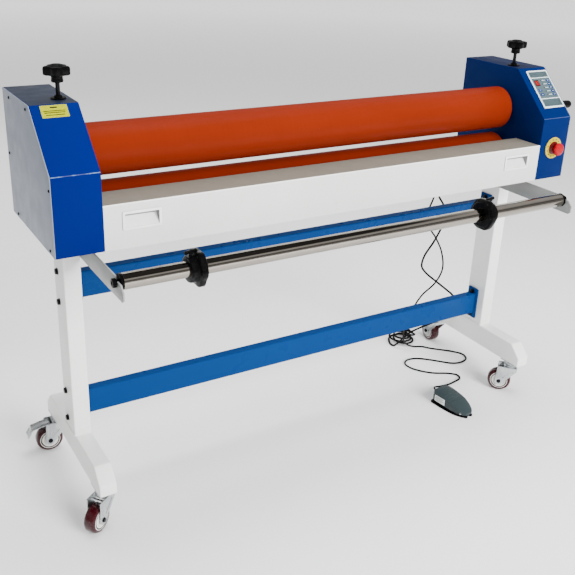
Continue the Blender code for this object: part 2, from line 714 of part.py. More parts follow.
def drive_chain():
    """Roller chain as one band around both sprockets."""
    def loop(extra):
        roller = pitch_radius(TEETH["roller"]) + extra
        motor = pitch_radius(TEETH["motor"]) + extra
        lean = math.degrees(math.acos((roller - motor) / MOTOR_Y))
        around_motor = arc((MOTOR_Y, LOWER_AXIS_Z), motor, -lean, lean, 10)
        around_roller = arc((0, LOWER_AXIS_Z), roller, lean, 360 - lean, 18)
        return around_motor + around_roller
    band = prism(loop(0.0060), "X", CHAIN_X)
    return cut(band, prism(loop(0.0026), "X", (CHAIN_X[0] - 0.01, CHAIN_X[1] + 0.01)))


def gearmotor():
    """Gearbox on the plate, with its motor standing on it and its shaft through the sprocket."""
    box = block((0.7395, 0.7745), (MOTOR_Y - 0.035, MOTOR_Y + 0.035), (0.750, 0.822))
    can = [(0.821, 0), (0.821, 0.017), (0.826, 0.031), (0.935, 0.031), (0.940, 0.026), (0.940, 0)]
    motor = turned(can, "Z", (0.743, MOTOR_Y, 0))
    feet_x = (PLATE_X[1] + GAP, 0.742)
    feet = block(feet_x, (MOTOR_Y - 0.035, MOTOR_Y + 0.024), (0.7440, 0.7515))
    shaft = rod(0.006, "X", (0.7290, 0.741), (0, MOTOR_Y, LOWER_AXIS_Z), 16)
    return joined(box, motor, feet, shaft)


def crank_arm():
    """Bar from the roller's end to the pin that the grip turns on."""
    reach = Vector((GRIP_Y, GRIP_Z - LOWER_AXIS_Z))
    heading = math.degrees(math.atan2(reach.y, reach.x))
    outline = arc((0, LOWER_AXIS_Z), 0.015, heading + 90, heading + 270, 10)
    outline += arc((GRIP_Y, GRIP_Z), 0.010, heading - 90, heading + 90, 8)
    arm = prism(outline, "X", (CRANK_X, CRANK_X + 0.008))
    hub = rod(0.0155, "X", (0.7865, CRANK_X + 0.009), lower_axis, 24)
    pin = rod(0.004, "X", (0.803, CRANK_X + GRIP_LENGTH), (0, GRIP_Y, GRIP_Z), 16)
    arm = joined(arm, hub, pin)
    return cut(arm, rod(0.0123, "X", (0.780, CORE_END_X + GAP), lower_axis, 24))


def crank_grip():
    """Barrel-shaped grip, open at the arm's side for its pin."""
    start = CRANK_X + 0.0083
    end = start + GRIP_LENGTH
    profile = [(start, 0.0043), (start, 0.010), (start + 0.004, 0.0115), (start + 0.040, 0.0125),
               (end - 0.010, 0.0125), (end - 0.002, 0.010), (end, 0.006), (end, 0),
               (CRANK_X + GRIP_LENGTH + GAP, 0), (CRANK_X + GRIP_LENGTH + GAP, 0.0043)]
    return turned(profile, "X", (0, GRIP_Y, GRIP_Z), 24, ring=True)


motor_axis = (0, MOTOR_Y, LOWER_AXIS_Z)
finish("gearmotor", gearmotor(), "black")
finish("motor_sprocket", sprocket(TEETH["motor"], 0.0063, (MOTOR_Y, LOWER_AXIS_Z)), "steel", motor_axis)
finish("roller_sprocket", sprocket(TEETH["roller"], 0.0123, (0, LOWER_AXIS_Z)), "steel", lower_axis)
finish("drive_chain", drive_chain(), "steel")
finish("crank_arm", crank_arm(), "zinc", lower_axis)
finish("crank_grip", crank_grip(), "black", (0, GRIP_Y, GRIP_Z))


# ---------------------------------------------------------------- controls on the right housing
def control_panel():
    """Flat panel laid on the sloped desk."""
    low = Vector((0, HOUSING_FRONT_Y, SLANT_BOTTOM_Z))
    up = Vector((0, SLANT_TOP_Y - HOUSING_FRONT_Y, HOUSING_TOP_Z - SLANT_BOTTOM_Z)).normalized()
    out = Vector((0, -up.z, up.y))
    corners = []
    near, far = PANEL_REACH
    top = GAP + PANEL_THICKNESS
    for distance, height in ((near, GAP), (far, GAP), (far, top), (near, top)):
        point = low + up * distance + out * height
        corners.append((point.y, point.z))
    return prism(corners, "X", PANEL_X)


def estop_base():
    """Yellow plate and collar, bored for the button's stem."""
    front = HOUSING_FRONT_Y - GAP
    collar = front - 0.012
    profile = [(front, ESTOP_BORE), (front, 0.032), (front - 0.003, 0.032), (front - 0.004, 0.018)]
    profile += [(collar, 0.016), (collar, ESTOP_BORE)]
    return turned(profile, "Y", (ESTOP[0], 0, ESTOP[1]), ring=True)


def estop_head():
    """Red mushroom on its stem, 4.5 mm clear of the collar."""
    front = HOUSING_FRONT_Y - GAP - 0.012
    stem = ESTOP_BORE - GAP
    profile = [(0.010, 0), (0.010, stem), (-0.0045, stem), (-0.0045, 0.0165), (-0.008, 0.019)]
    profile += [(-0.014, 0.0185), (-0.018, 0.013), (-0.019, 0)]
    profile = [(front + place, radius) for place, radius in profile]
    return turned(profile, "Y", (ESTOP[0], 0, ESTOP[1]))


finish("control_panel", control_panel(), "panel", smooth=False)
finish("estop_base", estop_base(), "yellow")
finish("estop_head", estop_head(), "red", (ESTOP[0], HOUSING_FRONT_Y, ESTOP[1]))


# ---------------------------------------------------------------- supply shaft and core stoppers
def supply_shaft():
    """Steel tube with an end plug, a stub that sits in the arm's notch and a retaining head."""
    tube, ring = 0.6725, 0.6765
    vent = 0.003
    stub_end = 0.6925
    half = [(tube, 0.017), (tube, vent), (stub_end, vent), (stub_end, 0.010), (0.6910, 0.011)]
    half += [(0.6840, 0.011), (0.6835, STUB_RADIUS), (ring, STUB_RADIUS), (ring, 0.0195)]
    half += [(tube, 0.0195), (tube, SHAFT_RADIUS)]
    other = [(-place, radius) for place, radius in reversed(half)]
    return turned(half + other, "X", (0, SHAFT_Y, SHAFT_Z), ring=True)


def core_stopper(side):
    """Disc and hub that slide on the shaft, with a clamp screw across the hub."""
    bore = SHAFT_RADIUS + GAP
    middle = STOPPER_X["left" if side < 0 else "right"]
    profile = [(0.022, bore), (0.022, 0.029), (0.004, 0.031), (0.004, 0.036), (-0.014, 0.036)]
    profile += [(-0.016, bore)]
    spun = [(middle + side * place, radius) for place, radius in profile]
    hub = turned(spun, "X", (0, SHAFT_Y, SHAFT_Z), ring=True)
    rim_x = span(side, side * middle - 0.012, side * middle + 0.004)
    rim = prism(lobed(0.045, 0.005, 6, (SHAFT_Y, SHAFT_Z)), "X", rim_x)
    hole = rod(0.030, "X", (middle - 0.03, middle + 0.03), (0, SHAFT_Y, SHAFT_Z))
    rim = cut(rim, hole)
    stem = [(0.024, 0), (0.024, 0.004), (0.036, 0.004)]
    head = [(0.036, 0.009), (0.046, 0.0085), (0.047, 0)]
    screw = turned(stem + head, "Z", (middle + side * 0.013, SHAFT_Y, SHAFT_Z), 16)
    return joined(hub, rim, screw)


shaft_axis = (0, SHAFT_Y, SHAFT_Z)
finish("supply_shaft", supply_shaft(), "chrome", shaft_axis)
for name, side in SIDES.items():
    finish(f"{name}_core_stopper", core_stopper(side), "black", (STOPPER_X[name], SHAFT_Y, SHAFT_Z))


# ---------------------------------------------------------------- foot switch, about its own middle
def switch_outline(inset):
    """Plan of the foot switch: cut corners at the cord's end, and sides that close in to a blunt toe."""
    end = SWITCH_LENGTH / 2 - inset
    half = SWITCH_WIDTH / 2 - inset
    side = [(-end, half - 0.010), (-end + 0.011, half), (-0.005, half), (0.020, half - 0.0015)]
    side += [(0.042, half - 0.006), (0.057, half - 0.012), (end, half - 0.021)]
    return [(along_it, -across) for along_it, across in side] + side[::-1]


def switch_base():
    """Base plate with the switch body and the cord's gland."""
    base = prism(switch_outline(0), "Z", (0, 0.006))
    body = block((-0.030, 0.025), (-0.022, 0.022), (0.005, 0.020))
    heel = -SWITCH_LENGTH / 2
    tower = block((heel, heel + 0.0025), (-0.020, 0.025), (0.005, 0.026))
    gland = rod(0.0055, "X", (SWITCH_GLAND[0], heel + 0.001), (0, *SWITCH_GLAND[1:]), 16)
    return joined(base, body, tower, gland)


def treadle_side(heel, toe, skirt, drop):
    """Side view of the treadle, with its top lowered by drop."""
    top = [(toe, 0.0215), (0.035, 0.0335), (0.010, 0.0395), (-0.035, 0.0435), (heel, 0.0435)]
    return [(heel, skirt[0]), (toe - 0.020, skirt[1]), (toe, skirt[1])] + [(u, z - drop) for u, z in top]


def switch_pedal():
    """Wedge-shaped treadle with a skirt; it hinges at the low end."""
    inset = 0.002
    wall = 0.0025
    heel = -SWITCH_LENGTH / 2 + inset + 0.0015
    toe = SWITCH_LENGTH / 2 - inset
    wedge = prism(treadle_side(heel, toe, (0.014, 0.0078), 0), "Y", (-0.05, 0.05))
    wedge = baked(wedge, [prism(switch_outline(inset), "Z", (-0.01, 0.08))], "INTERSECT")
    hollow = prism(treadle_side(heel + wall, toe - wall, (0, 0), wall), "Y", (-0.05, 0.05))
    hollow = baked(hollow, [prism(switch_outline(inset + wall), "Z", (-0.02, 0.09))], "INTERSECT")
    return cut(wedge, hollow)


def on_switch(point):
    """A point of the foot switch, given about its middle, in the machine's frame."""
    turned_point = Matrix.Rotation(SWITCH_TURN, 3, "Z") @ Vector(point)
    return turned_point + Vector((*SWITCH_CENTRE, 0))


for name, made, colour, pivot in (("foot_switch_base", switch_base(), "black", (0, 0, 0)),
                                  ("foot_switch_pedal", switch_pedal(), "pedal_grey", SWITCH_HINGE)):
    piece = finish(name, made, colour, pivot)
    piece.location = on_switch(pivot)
    piece.rotation_euler = (0, 0, SWITCH_TURN)


# ---------------------------------------------------------------- cords
def cord_gland():
    """Plate on the housing's inner wall with a tapered gland for each cord."""
    wall = HOUSING_INNER_X - GAP
    low = (PEDAL_GLAND[0] - 0.016, PEDAL_GLAND[1] - 0.015)
    high = (POWER_GLAND[0] + 0.016, POWER_GLAND[1] + 0.015)
    plate = block((wall - 0.003, wall), (low[0], high[0]), (low[1], high[1]))
    for y, z in (PEDAL_GLAND, POWER_GLAND):
        gland = turned([(GLAND_X, 0), (GLAND_X, 0.0055), (wall - 0.002, 0.010), (wall - 0.002, 0)],
                       "X", (0, y, z), 20)
        plate = joined(plate, gland)
    return plate


PEDAL_ROUTE = [
    (GLAND_X - CORD_GAP, *PEDAL_GLAND), (0.618, *PEDAL_GLAND),
    (0.588, 0.122, 0.742), (0.572, 0.140, 0.670),
    (0.572, 0.148, 0.602), (0.556, 0.150, 0.552), (0.566, 0.150, 0.502), (0.605, 0.150, 0.450),
    (0.640, 0.152, 0.391), (0.655, 0.155, 0.324), (0.632, 0.158, 0.276), (0.580, 0.162, 0.236),
    (0.546, 0.168, 0.180), (0.536, 0.182, 0.115), (0.547, 0.197, 0.055), (0.578, 0.206, 0.018),
    (0.612, 0.205, 0.0040), (0.637, 0.193, 0.0032), (0.655, 0.170, 0.0032), (0.680, 0.146, 0.0032),
    (0.712, 0.115, 0.0032), (0.733, 0.080, 0.0032),
    (0.722, 0.050, 0.0032), (0.690, 0.038, 0.0032), (0.655, 0.046, 0.0032), (0.625, 0.074, 0.0032),
    (0.592, 0.108, 0.0032), (0.556, 0.134, 0.0032), (0.523, 0.138, 0.0032), (0.501, 0.122, 0.0032),
    (0.498, 0.094, 0.0032), (0.516, 0.056, 0.0032), (0.550, 0.022, 0.0032), (0.592, -0.002, 0.0032),
    (0.614, -0.026, 0.0032), (0.606, -0.0465, 0.0032), (0.578, -0.055, 0.0032), (0.546, -0.060, 0.0032),
    (0.511, -0.058, 0.0040), (0.4835, -0.0595, 0.0090), (0.4712, -0.0740, 0.0130),
]
POWER_ROUTE = [
    (GLAND_X - CORD_GAP, *POWER_GLAND), (0.618, *POWER_GLAND),
    (0.592, 0.154, 0.740), (0.590, 0.164, 0.665),
    (0.610, 0.168, 0.600), (0.644, 0.170, 0.550), (0.650, 0.172, 0.495), (0.620, 0.174, 0.430),
    (0.580, 0.172, 0.380), (0.566, 0.163, 0.348), (0.574, 0.148, 0.329), (0.602, 0.120, 0.301),
    (0.630, 0.098, 0.275), (0.653, 0.085, 0.252), (0.671, 0.092, 0.212), (0.673, 0.112, 0.168),
    (0.652, 0.145, 0.128), (0.613, 0.172, 0.102), (0.580, 0.205, 0.068), (0.556, 0.226, 0.030),
    (0.5445, 0.242, 0.0070), (0.5435, 0.264, 0.0042),
]


def cord(name, route, radius, count):
    """A round tube along a smooth route."""
    curve = bpy.data.curves.new(name, "CURVE")
    curve.dimensions = "3D"
    curve.bevel_depth = radius
    curve.bevel_resolution = 2
    curve.use_fill_caps = True
    points = smooth_route(route, count)
    line = curve.splines.new("POLY")
    line.points.add(count - 1)
    for point, place in zip(line.points, points):
        point.co = (place.x, place.y, max(place.z, radius + GAP), 1.0)
    made = bpy.data.objects.new(name, curve)
    bpy.context.collection.objects.link(made)
    made.data.materials.append(material("black"))
    made.parent = machine


def cord_coil():
    """The outer shape of the power cord's spare turns."""
    low, high = GAP, COIL_HEIGHT
    inner, outer = COIL_INNER_RADIUS, COIL_RADIUS
    turn = COIL_ROUNDING
    profile = [(low, inner + turn), (low, outer - turn), (low + turn, outer), (high - 2 * turn, outer)]
    profile += [(high, outer - 2 * turn), (high, inner + turn), (high - turn, inner), (low + turn, inner)]
    return turned(profile, "Z", (*COIL_CENTRE, 0), ring=True)


def power_plug():
    """Moulded plug with two round pins and a tapered strain relief towards the coil."""
    relief = [(0, 0), (0, 0.0040), (0.030, 0.0062)]
    body = [(0.031, 0.011), (0.040, 0.0135), (0.062, 0.0175), (0.068, 0.0175), (0.069, 0)]
    profile = [(PLUG_START_Y + place, radius) for place, radius in relief + body]
    plug = turned(profile, "Y", PLUG_AXIS, 20)
    for offset in (-0.0095, 0.0095):
        pin_profile = [(0.067, 0), (0.067, 0.0024), (0.086, 0.0024), (0.087, 0.0015), (0.087, 0)]
        pin_profile = [(PLUG_START_Y + place, radius) for place, radius in pin_profile]
        pin = turned(pin_profile, "Y", (PLUG_AXIS[0] + offset, 0, PLUG_AXIS[2]), 12)
        plug = joined(plug, pin)
    return plug


finish("cord_gland", cord_gland(), "black")
gland_mouth = on_switch((SWITCH_GLAND[0] - CORD_GAP, *SWITCH_GLAND[1:]))
cord("pedal_cord", PEDAL_ROUTE + [tuple(gland_mouth)], PEDAL_CORD_RADIUS, 80)
cord("power_cord", POWER_ROUTE, POWER_CORD_RADIUS, 52)
finish("power_cord_coil", cord_coil(), "black")
finish("power_plug", power_plug(), "black")
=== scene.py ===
import json
import math

import bmesh
import bpy
from mathutils import Matrix, Vector

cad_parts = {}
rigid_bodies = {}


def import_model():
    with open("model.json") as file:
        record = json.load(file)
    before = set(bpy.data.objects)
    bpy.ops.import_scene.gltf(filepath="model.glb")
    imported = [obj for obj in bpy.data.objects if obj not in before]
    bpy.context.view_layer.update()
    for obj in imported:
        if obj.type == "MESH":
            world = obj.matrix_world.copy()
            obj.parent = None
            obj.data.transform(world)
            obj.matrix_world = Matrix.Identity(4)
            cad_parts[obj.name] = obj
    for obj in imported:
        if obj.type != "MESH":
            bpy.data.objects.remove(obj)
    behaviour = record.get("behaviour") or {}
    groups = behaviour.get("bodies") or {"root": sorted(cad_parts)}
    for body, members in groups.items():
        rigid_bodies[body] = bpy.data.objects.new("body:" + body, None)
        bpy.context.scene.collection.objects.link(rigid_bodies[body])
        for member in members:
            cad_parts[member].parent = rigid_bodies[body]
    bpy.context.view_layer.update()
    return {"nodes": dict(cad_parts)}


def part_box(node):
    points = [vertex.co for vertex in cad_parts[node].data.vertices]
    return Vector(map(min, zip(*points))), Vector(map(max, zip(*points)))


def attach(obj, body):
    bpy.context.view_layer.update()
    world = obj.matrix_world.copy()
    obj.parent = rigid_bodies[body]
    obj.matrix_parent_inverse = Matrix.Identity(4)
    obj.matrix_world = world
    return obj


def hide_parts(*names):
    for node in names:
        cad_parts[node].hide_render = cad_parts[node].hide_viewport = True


for leftover in list(bpy.data.objects):
    bpy.data.objects.remove(leftover)
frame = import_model()

# ---------------------------------------------------------------- places, read from the frame
roller_low, roller_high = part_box("upper_roller_sleeve")
MIDDLE = Vector(((roller_low.x + roller_high.x) / 2, (roller_low.y + roller_high.y) / 2, 0))
SIDES = {"left": -1, "right": 1}


def limits(node):
    """A CAD node's corners, measured from the point on the floor under the rollers' middle."""
    low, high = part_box(node)
    return low - MIDDLE, high - MIDDLE


def span(side, low, high):
    """The limits of a stretch of x on the left (side -1) or the right (side +1)."""
    return (min(side * low, side * high), max(side * low, side * high))


HOUSING_LOW, HOUSING_HIGH = limits("right_housing")
HOUSING_FRONT = HOUSING_LOW.y
HOUSING_BACK = HOUSING_HIGH.y
HOUSING_BOTTOM = HOUSING_LOW.z
HOUSING_TOP = HOUSING_HIGH.z
HOUSING_INNER = 0.67
COVER_INNER, COVER_OUTER = limits("right_outer_cover")[0].x, limits("right_outer_cover")[1].x
DESK_BOTTOM = 0.925              # height at which the front turns into the sloped desk
DESK_TOP_Y = -0.049              # where the desk meets the top
SHEET = 0.002
LOWER_AXIS = (limits("lower_roller_sleeve")[0].z + limits("lower_roller_sleeve")[1].z) / 2
UPPER_AXIS = (roller_low.z + roller_high.z) / 2
ROLLER_RADIUS = (roller_high.z - roller_low.z) / 2
BEAM_Y = 0.018
BEAM_BOLTS = (-0.041, 0.041)     # heights of a beam's bolts from its middle
SCREW_X = 0.7                    # how far out a pressure screw stands
TABLE_PINS = (-0.15, -0.1)       # y of the pins that hold the feed table
TABLE_PIN_Z = 0.76


# ---------------------------------------------------------------- objects and meshes
def in_scene(name, data):
    """A new object in the scene."""
    made = bpy.data.objects.new(name, data)
    bpy.context.scene.collection.objects.link(made)
    return made


def as_mesh(form, name):
    """Turn a bmesh into a mesh and let go of it."""
    mesh = bpy.data.meshes.new(name)
    form.to_mesh(mesh)
    form.free()
    return mesh


# ---------------------------------------------------------------- camera
CAMERA_PLACE = (-1.22, -1.8432, 1.4429)
CAMERA_YAW = -31.34              # degrees, to the right of +Y
CAMERA_PITCH = -22.88
CAMERA_ROLL = 2.2
CAMERA_LENS = 51.83
CAMERA_SHIFT = (0.0093, -0.0364)


def make_camera():
    data = bpy.data.cameras.new("camera")
    data.sensor_width = 36.0
    data.lens = CAMERA_LENS
    data.shift_x, data.shift_y = CAMERA_SHIFT
    data.clip_start = 0.05
    data.clip_end = 100.0
    camera = in_scene("camera", data)
    turn = Matrix.Rotation(math.radians(CAMERA_YAW), 4, "Z")
    tilt = Matrix.Rotation(math.radians(90 + CAMERA_PITCH), 4, "X")
    roll = Matrix.Rotation(math.radians(CAMERA_ROLL), 4, "Z")
    camera.matrix_world = Matrix.Translation(MIDDLE + Vector(CAMERA_PLACE)) @ turn @ tilt @ roll
    bpy.context.scene.camera = camera


make_camera()


# ---------------------------------------------------------------- materials
def added(tree, kind, **inputs):
    """Add a node. Each input takes a value, or a link where it is given another node's output."""
    node = tree.nodes.new("ShaderNode" + kind)
    for name, value in inputs.items():
        socket = node.inputs[name.replace("_", " ")]
        if isinstance(value, bpy.types.NodeSocket):
            tree.links.new(value, socket)
        else:
            socket.default_value = value
    return node


class Nodes:
    """A Principled material and short ways to add the nodes that drive it."""

    def __init__(self, name, **fixed):
        self.material = bpy.data.materials.new(name)
        self.material.use_nodes = True
        self.tree = self.material.node_tree
        self.shader = self.tree.nodes["Principled BSDF"]
        for socket, value in fixed.items():
            self.shader.inputs[socket.replace("_", " ")].default_value = value
        self.place = added(self.tree, "TexCoord").outputs["Object"]

    def drive(self, source, socket):
        """Link an output to one of the shader's inputs."""
        self.tree.links.new(source, self.shader.inputs[socket])

    def noise(self, scale, detail=4, rough=0.55, stretch=(1, 1, 1)):
        place = added(self.tree, "Mapping", Scale=stretch, Vector=self.place).outputs["Vector"]
        return added(self.tree, "TexNoise", Scale=scale, Detail=detail, Roughness=rough,
                     Vector=place).outputs["Fac"]

    def cells(self, scale):
        return added(self.tree, "TexVoronoi", Scale=scale, Vector=self.place).outputs["Distance"]

    def pattern(self, spec):
        """Noise from a tuple of its settings, or cells from their scale."""
        return self.noise(*spec) if isinstance(spec, tuple) else self.cells(spec)

    def ranged(self, source, low, high, new_low, new_high):
        return added(self.tree, "MapRange", Value=source, From_Min=low, From_Max=high, To_Min=new_low,
                     To_Max=new_high).outputs["Result"]

    def mixed(self, share, first, second):
        """Mix two colours, each a tuple or an output."""
        node = self.tree.nodes.new("ShaderNodeMix")
        node.data_type = "RGBA"
        self.tree.links.new(share, node.inputs["Factor"])
        for socket, colour in ((node.inputs[6], first), (node.inputs[7], second)):
            if isinstance(colour, tuple):
                socket.default_value = (*colour, 1.0)
            else:
                self.tree.links.new(colour, socket)
        return node.outputs[2]

    def bump(self, source, distance, strength):
        """Raise the surface by the source; a second call adds to the first."""
        node = added(self.tree, "Bump", Strength=strength, Distance=distance, Height=source)
        normal = self.shader.inputs["Normal"]
        if normal.is_linked:
            self.tree.links.new(normal.links[0].from_socket, node.inputs["Normal"])
        self.drive(node.outputs["Normal"], "Normal")


def lighter(colour, share):
    return tuple(value + (1 - value) * share for value in colour)


def darker(colour, share):
    return tuple(value * (1 - share) for value in colour)


def surface(name, roughness, first, layers, rough, bumps, metallic=0.0, **fixed):
    """A material of colour layers over a first colour, with its roughness and bumps, all from patterns.

    A pattern is a tuple for noise or a number for cells. A layer is (pattern, low, high, most, colour) and
    shows more as its pattern goes from low to high; rough is (pattern, low, high, smoothest, roughest).
    """
    made = Nodes(name, Metallic=metallic, Roughness=roughness, **fixed)
    shown = first
    for pattern, low, high, most, colour in layers:
        shown = made.mixed(made.ranged(made.pattern(pattern), low, high, 0.0, most), shown, colour)
    made.drive(shown, "Base Color")
    if rough:
        made.drive(made.ranged(made.pattern(rough[0]), *rough[1:]), "Roughness")
    for pattern, distance, strength in bumps:
        made.bump(made.pattern(pattern), distance, strength)
    return made


def powder_coat(name, colour, roughness, peel=1.0, shine=0.4):
    """Baked paint: faint clouding, fine specks and orange peel."""
    layers = [((3.5, 3), 0.3, 0.7, 1, colour), ((420, 2), 0.68, 0.78, 0.04, darker(colour, 0.3))]
    rough = ((24, 5), 0.3, 0.7, roughness - 0.06, roughness + 0.08)
    bumps = [((520, 2), 0.00012 * peel, 0.35), ((6, 2), 0.0006, 0.1)]
    return surface(name, roughness, darker(colour, 0.07), layers, rough, bumps, Specular_IOR_Level=shine)


def fold_painted_highlight(name, colour, fold_highlight):
    """A painted highlight along a bend in the sheet: lighter blue in noise streaks over the paint."""
    return surface(name, 0.42, lighter(colour, 0.03),
                   [((60, 6, 0.7, (1, 0.25, 0.25)), 0.42, 0.58, 0.8, fold_highlight)], ((80,), 0.3, 0.7, 0.35, 0.6),
                   [((300, 3), 0.00015, 0.4)])


def silicone(name, colour):
    """Ground silicone rubber: satin, with fine rings round the roller and faint handling marks."""
    rings = (1, 3, 0.6, (700, 14, 14))
    layers = [((5, 4, 0.6, (0.6, 1, 1)), 0.32, 0.68, 1, colour),
              (rings, 0.35, 0.7, 0.28, darker(colour, 0.3)),
              ((260, 2), 0.74, 0.82, 0.25, lighter(colour, 0.12))]
    return surface(name, 0.42, darker(colour, 0.14), layers, ((14, 5, 0.6, (0.5, 1, 1)), 0.3, 0.7, 0.34, 0.5),
                   [(rings, 0.00006, 0.5), ((900, 2), 0.00005, 0.4)], Specular_IOR_Level=0.06)


def plated(name, colour, roughness, streak, marks=0.00004):
    """Bare or plated metal with polishing lines and a little clouding."""
    lines = (40, 4, 0.65, streak)
    layers = [((18, 5), 0.3, 0.7, 1, colour), (lines, 0.55, 0.75, 0.35, darker(colour, 0.35))]
    return surface(name, roughness, darker(colour, 0.1), layers,
                   (lines, 0.3, 0.7, roughness * 0.7, roughness * 1.5), [(lines, marks, 0.35)], 1.0)


def zinc_plate(name, colour):
    """Bright zinc: spangled clouds, dulled by handling."""
    layers = [(160, 0.1, 0.7, 1, lighter(colour, 0.1)), ((30, 6), 0.45, 0.75, 0.6, darker(colour, 0.3))]
    return surface(name, 0.28, darker(colour, 0.1), layers, ((45, 5), 0.3, 0.7, 0.18, 0.42),
                   [((240, 3), 0.00008, 0.3)], 1.0)


def moulding(name, colour, roughness, grain=700, depth=0.00008, shine=0.4):
    """Moulded plastic with a fine spark-eroded grain."""
    return surface(name, roughness, darker(colour, 0.15), [((12, 4), 0.3, 0.7, 1, colour)],
                   ((60, 4), 0.3, 0.7, roughness - 0.05, roughness + 0.08), [(grain, depth, 0.25)],
                   Specular_IOR_Level=shine)


def polyurethane(name, colour):
    """Cast tread: glossy, with a dusty running band."""
    layers = [((22,), 0.3, 0.7, 1, colour), ((70, 6, 0.7), 0.52, 0.72, 0.25, (0.1, 0.05, 0.045))]
    return surface(name, 0.2, darker(colour, 0.25), layers, ((50, 5), 0.35, 0.7, 0.15, 0.38),
                   [((300, 2), 0.00006, 0.3)], Specular_IOR_Level=0.35)


def printed(name, colour, second, roughness=0.32, shine=0.3):
    """Ink on film, a little mottled."""
    return surface(name, roughness, colour, [((150, 3), 0.35, 0.65, 1, second)],
                   ((300, 2), 0.3, 0.7, roughness - 0.05, roughness + 0.08), [((1500, 1), 0.00002, 0.3)],
                   Specular_IOR_Level=shine)


def jacket(name, colour):
    """Extruded cord jacket: satin, with faint lines and dust."""
    return surface(name, 0.45, colour, [((120, 5, 0.7), 0.5, 0.75, 0.18, (0.012, 0.012, 0.011))],
                   ((90, 4), 0.3, 0.7, 0.38, 0.58), [((700, 2), 0.00006, 0.3)], Specular_IOR_Level=0.12)


def floor_finish(name, colour):
    """Pale seamless floor with a barely visible mottle, which brightens with distance from the middle."""
    floor = surface(name, 0.65, colour, [((1.5, 4), 0.3, 0.7, 1, lighter(colour, 0.3))], None,
                    [((200, 2), 0.0001, 0.1)], Emission_Color=(1, 1, 1, 1))
    away = added(floor.tree, "VectorMath", Vector=floor.place)
    away.operation = "LENGTH"
    floor.drive(floor.ranged(away.outputs["Value"], 2.2, 12.0, 0.0, 1.1), "Emission Strength")
    return floor


BLUE = (0.0002, 0.0068, 0.105)
# The right housing's blue: a darker copy of the same housing paint, painted shade.
RIGHT_HOUSING_SHADED_BLUE = (0.0003, 0.0095, 0.072)
BEAM_BLUE = (0.0003, 0.033, 0.145)
GREY = (0.185, 0.21, 0.265)
PALE = (0.86, 0.875, 0.845)
ORANGE = (0.165, 0.0135, 0.003)
BLACK = (0.0022, 0.0022, 0.0024)

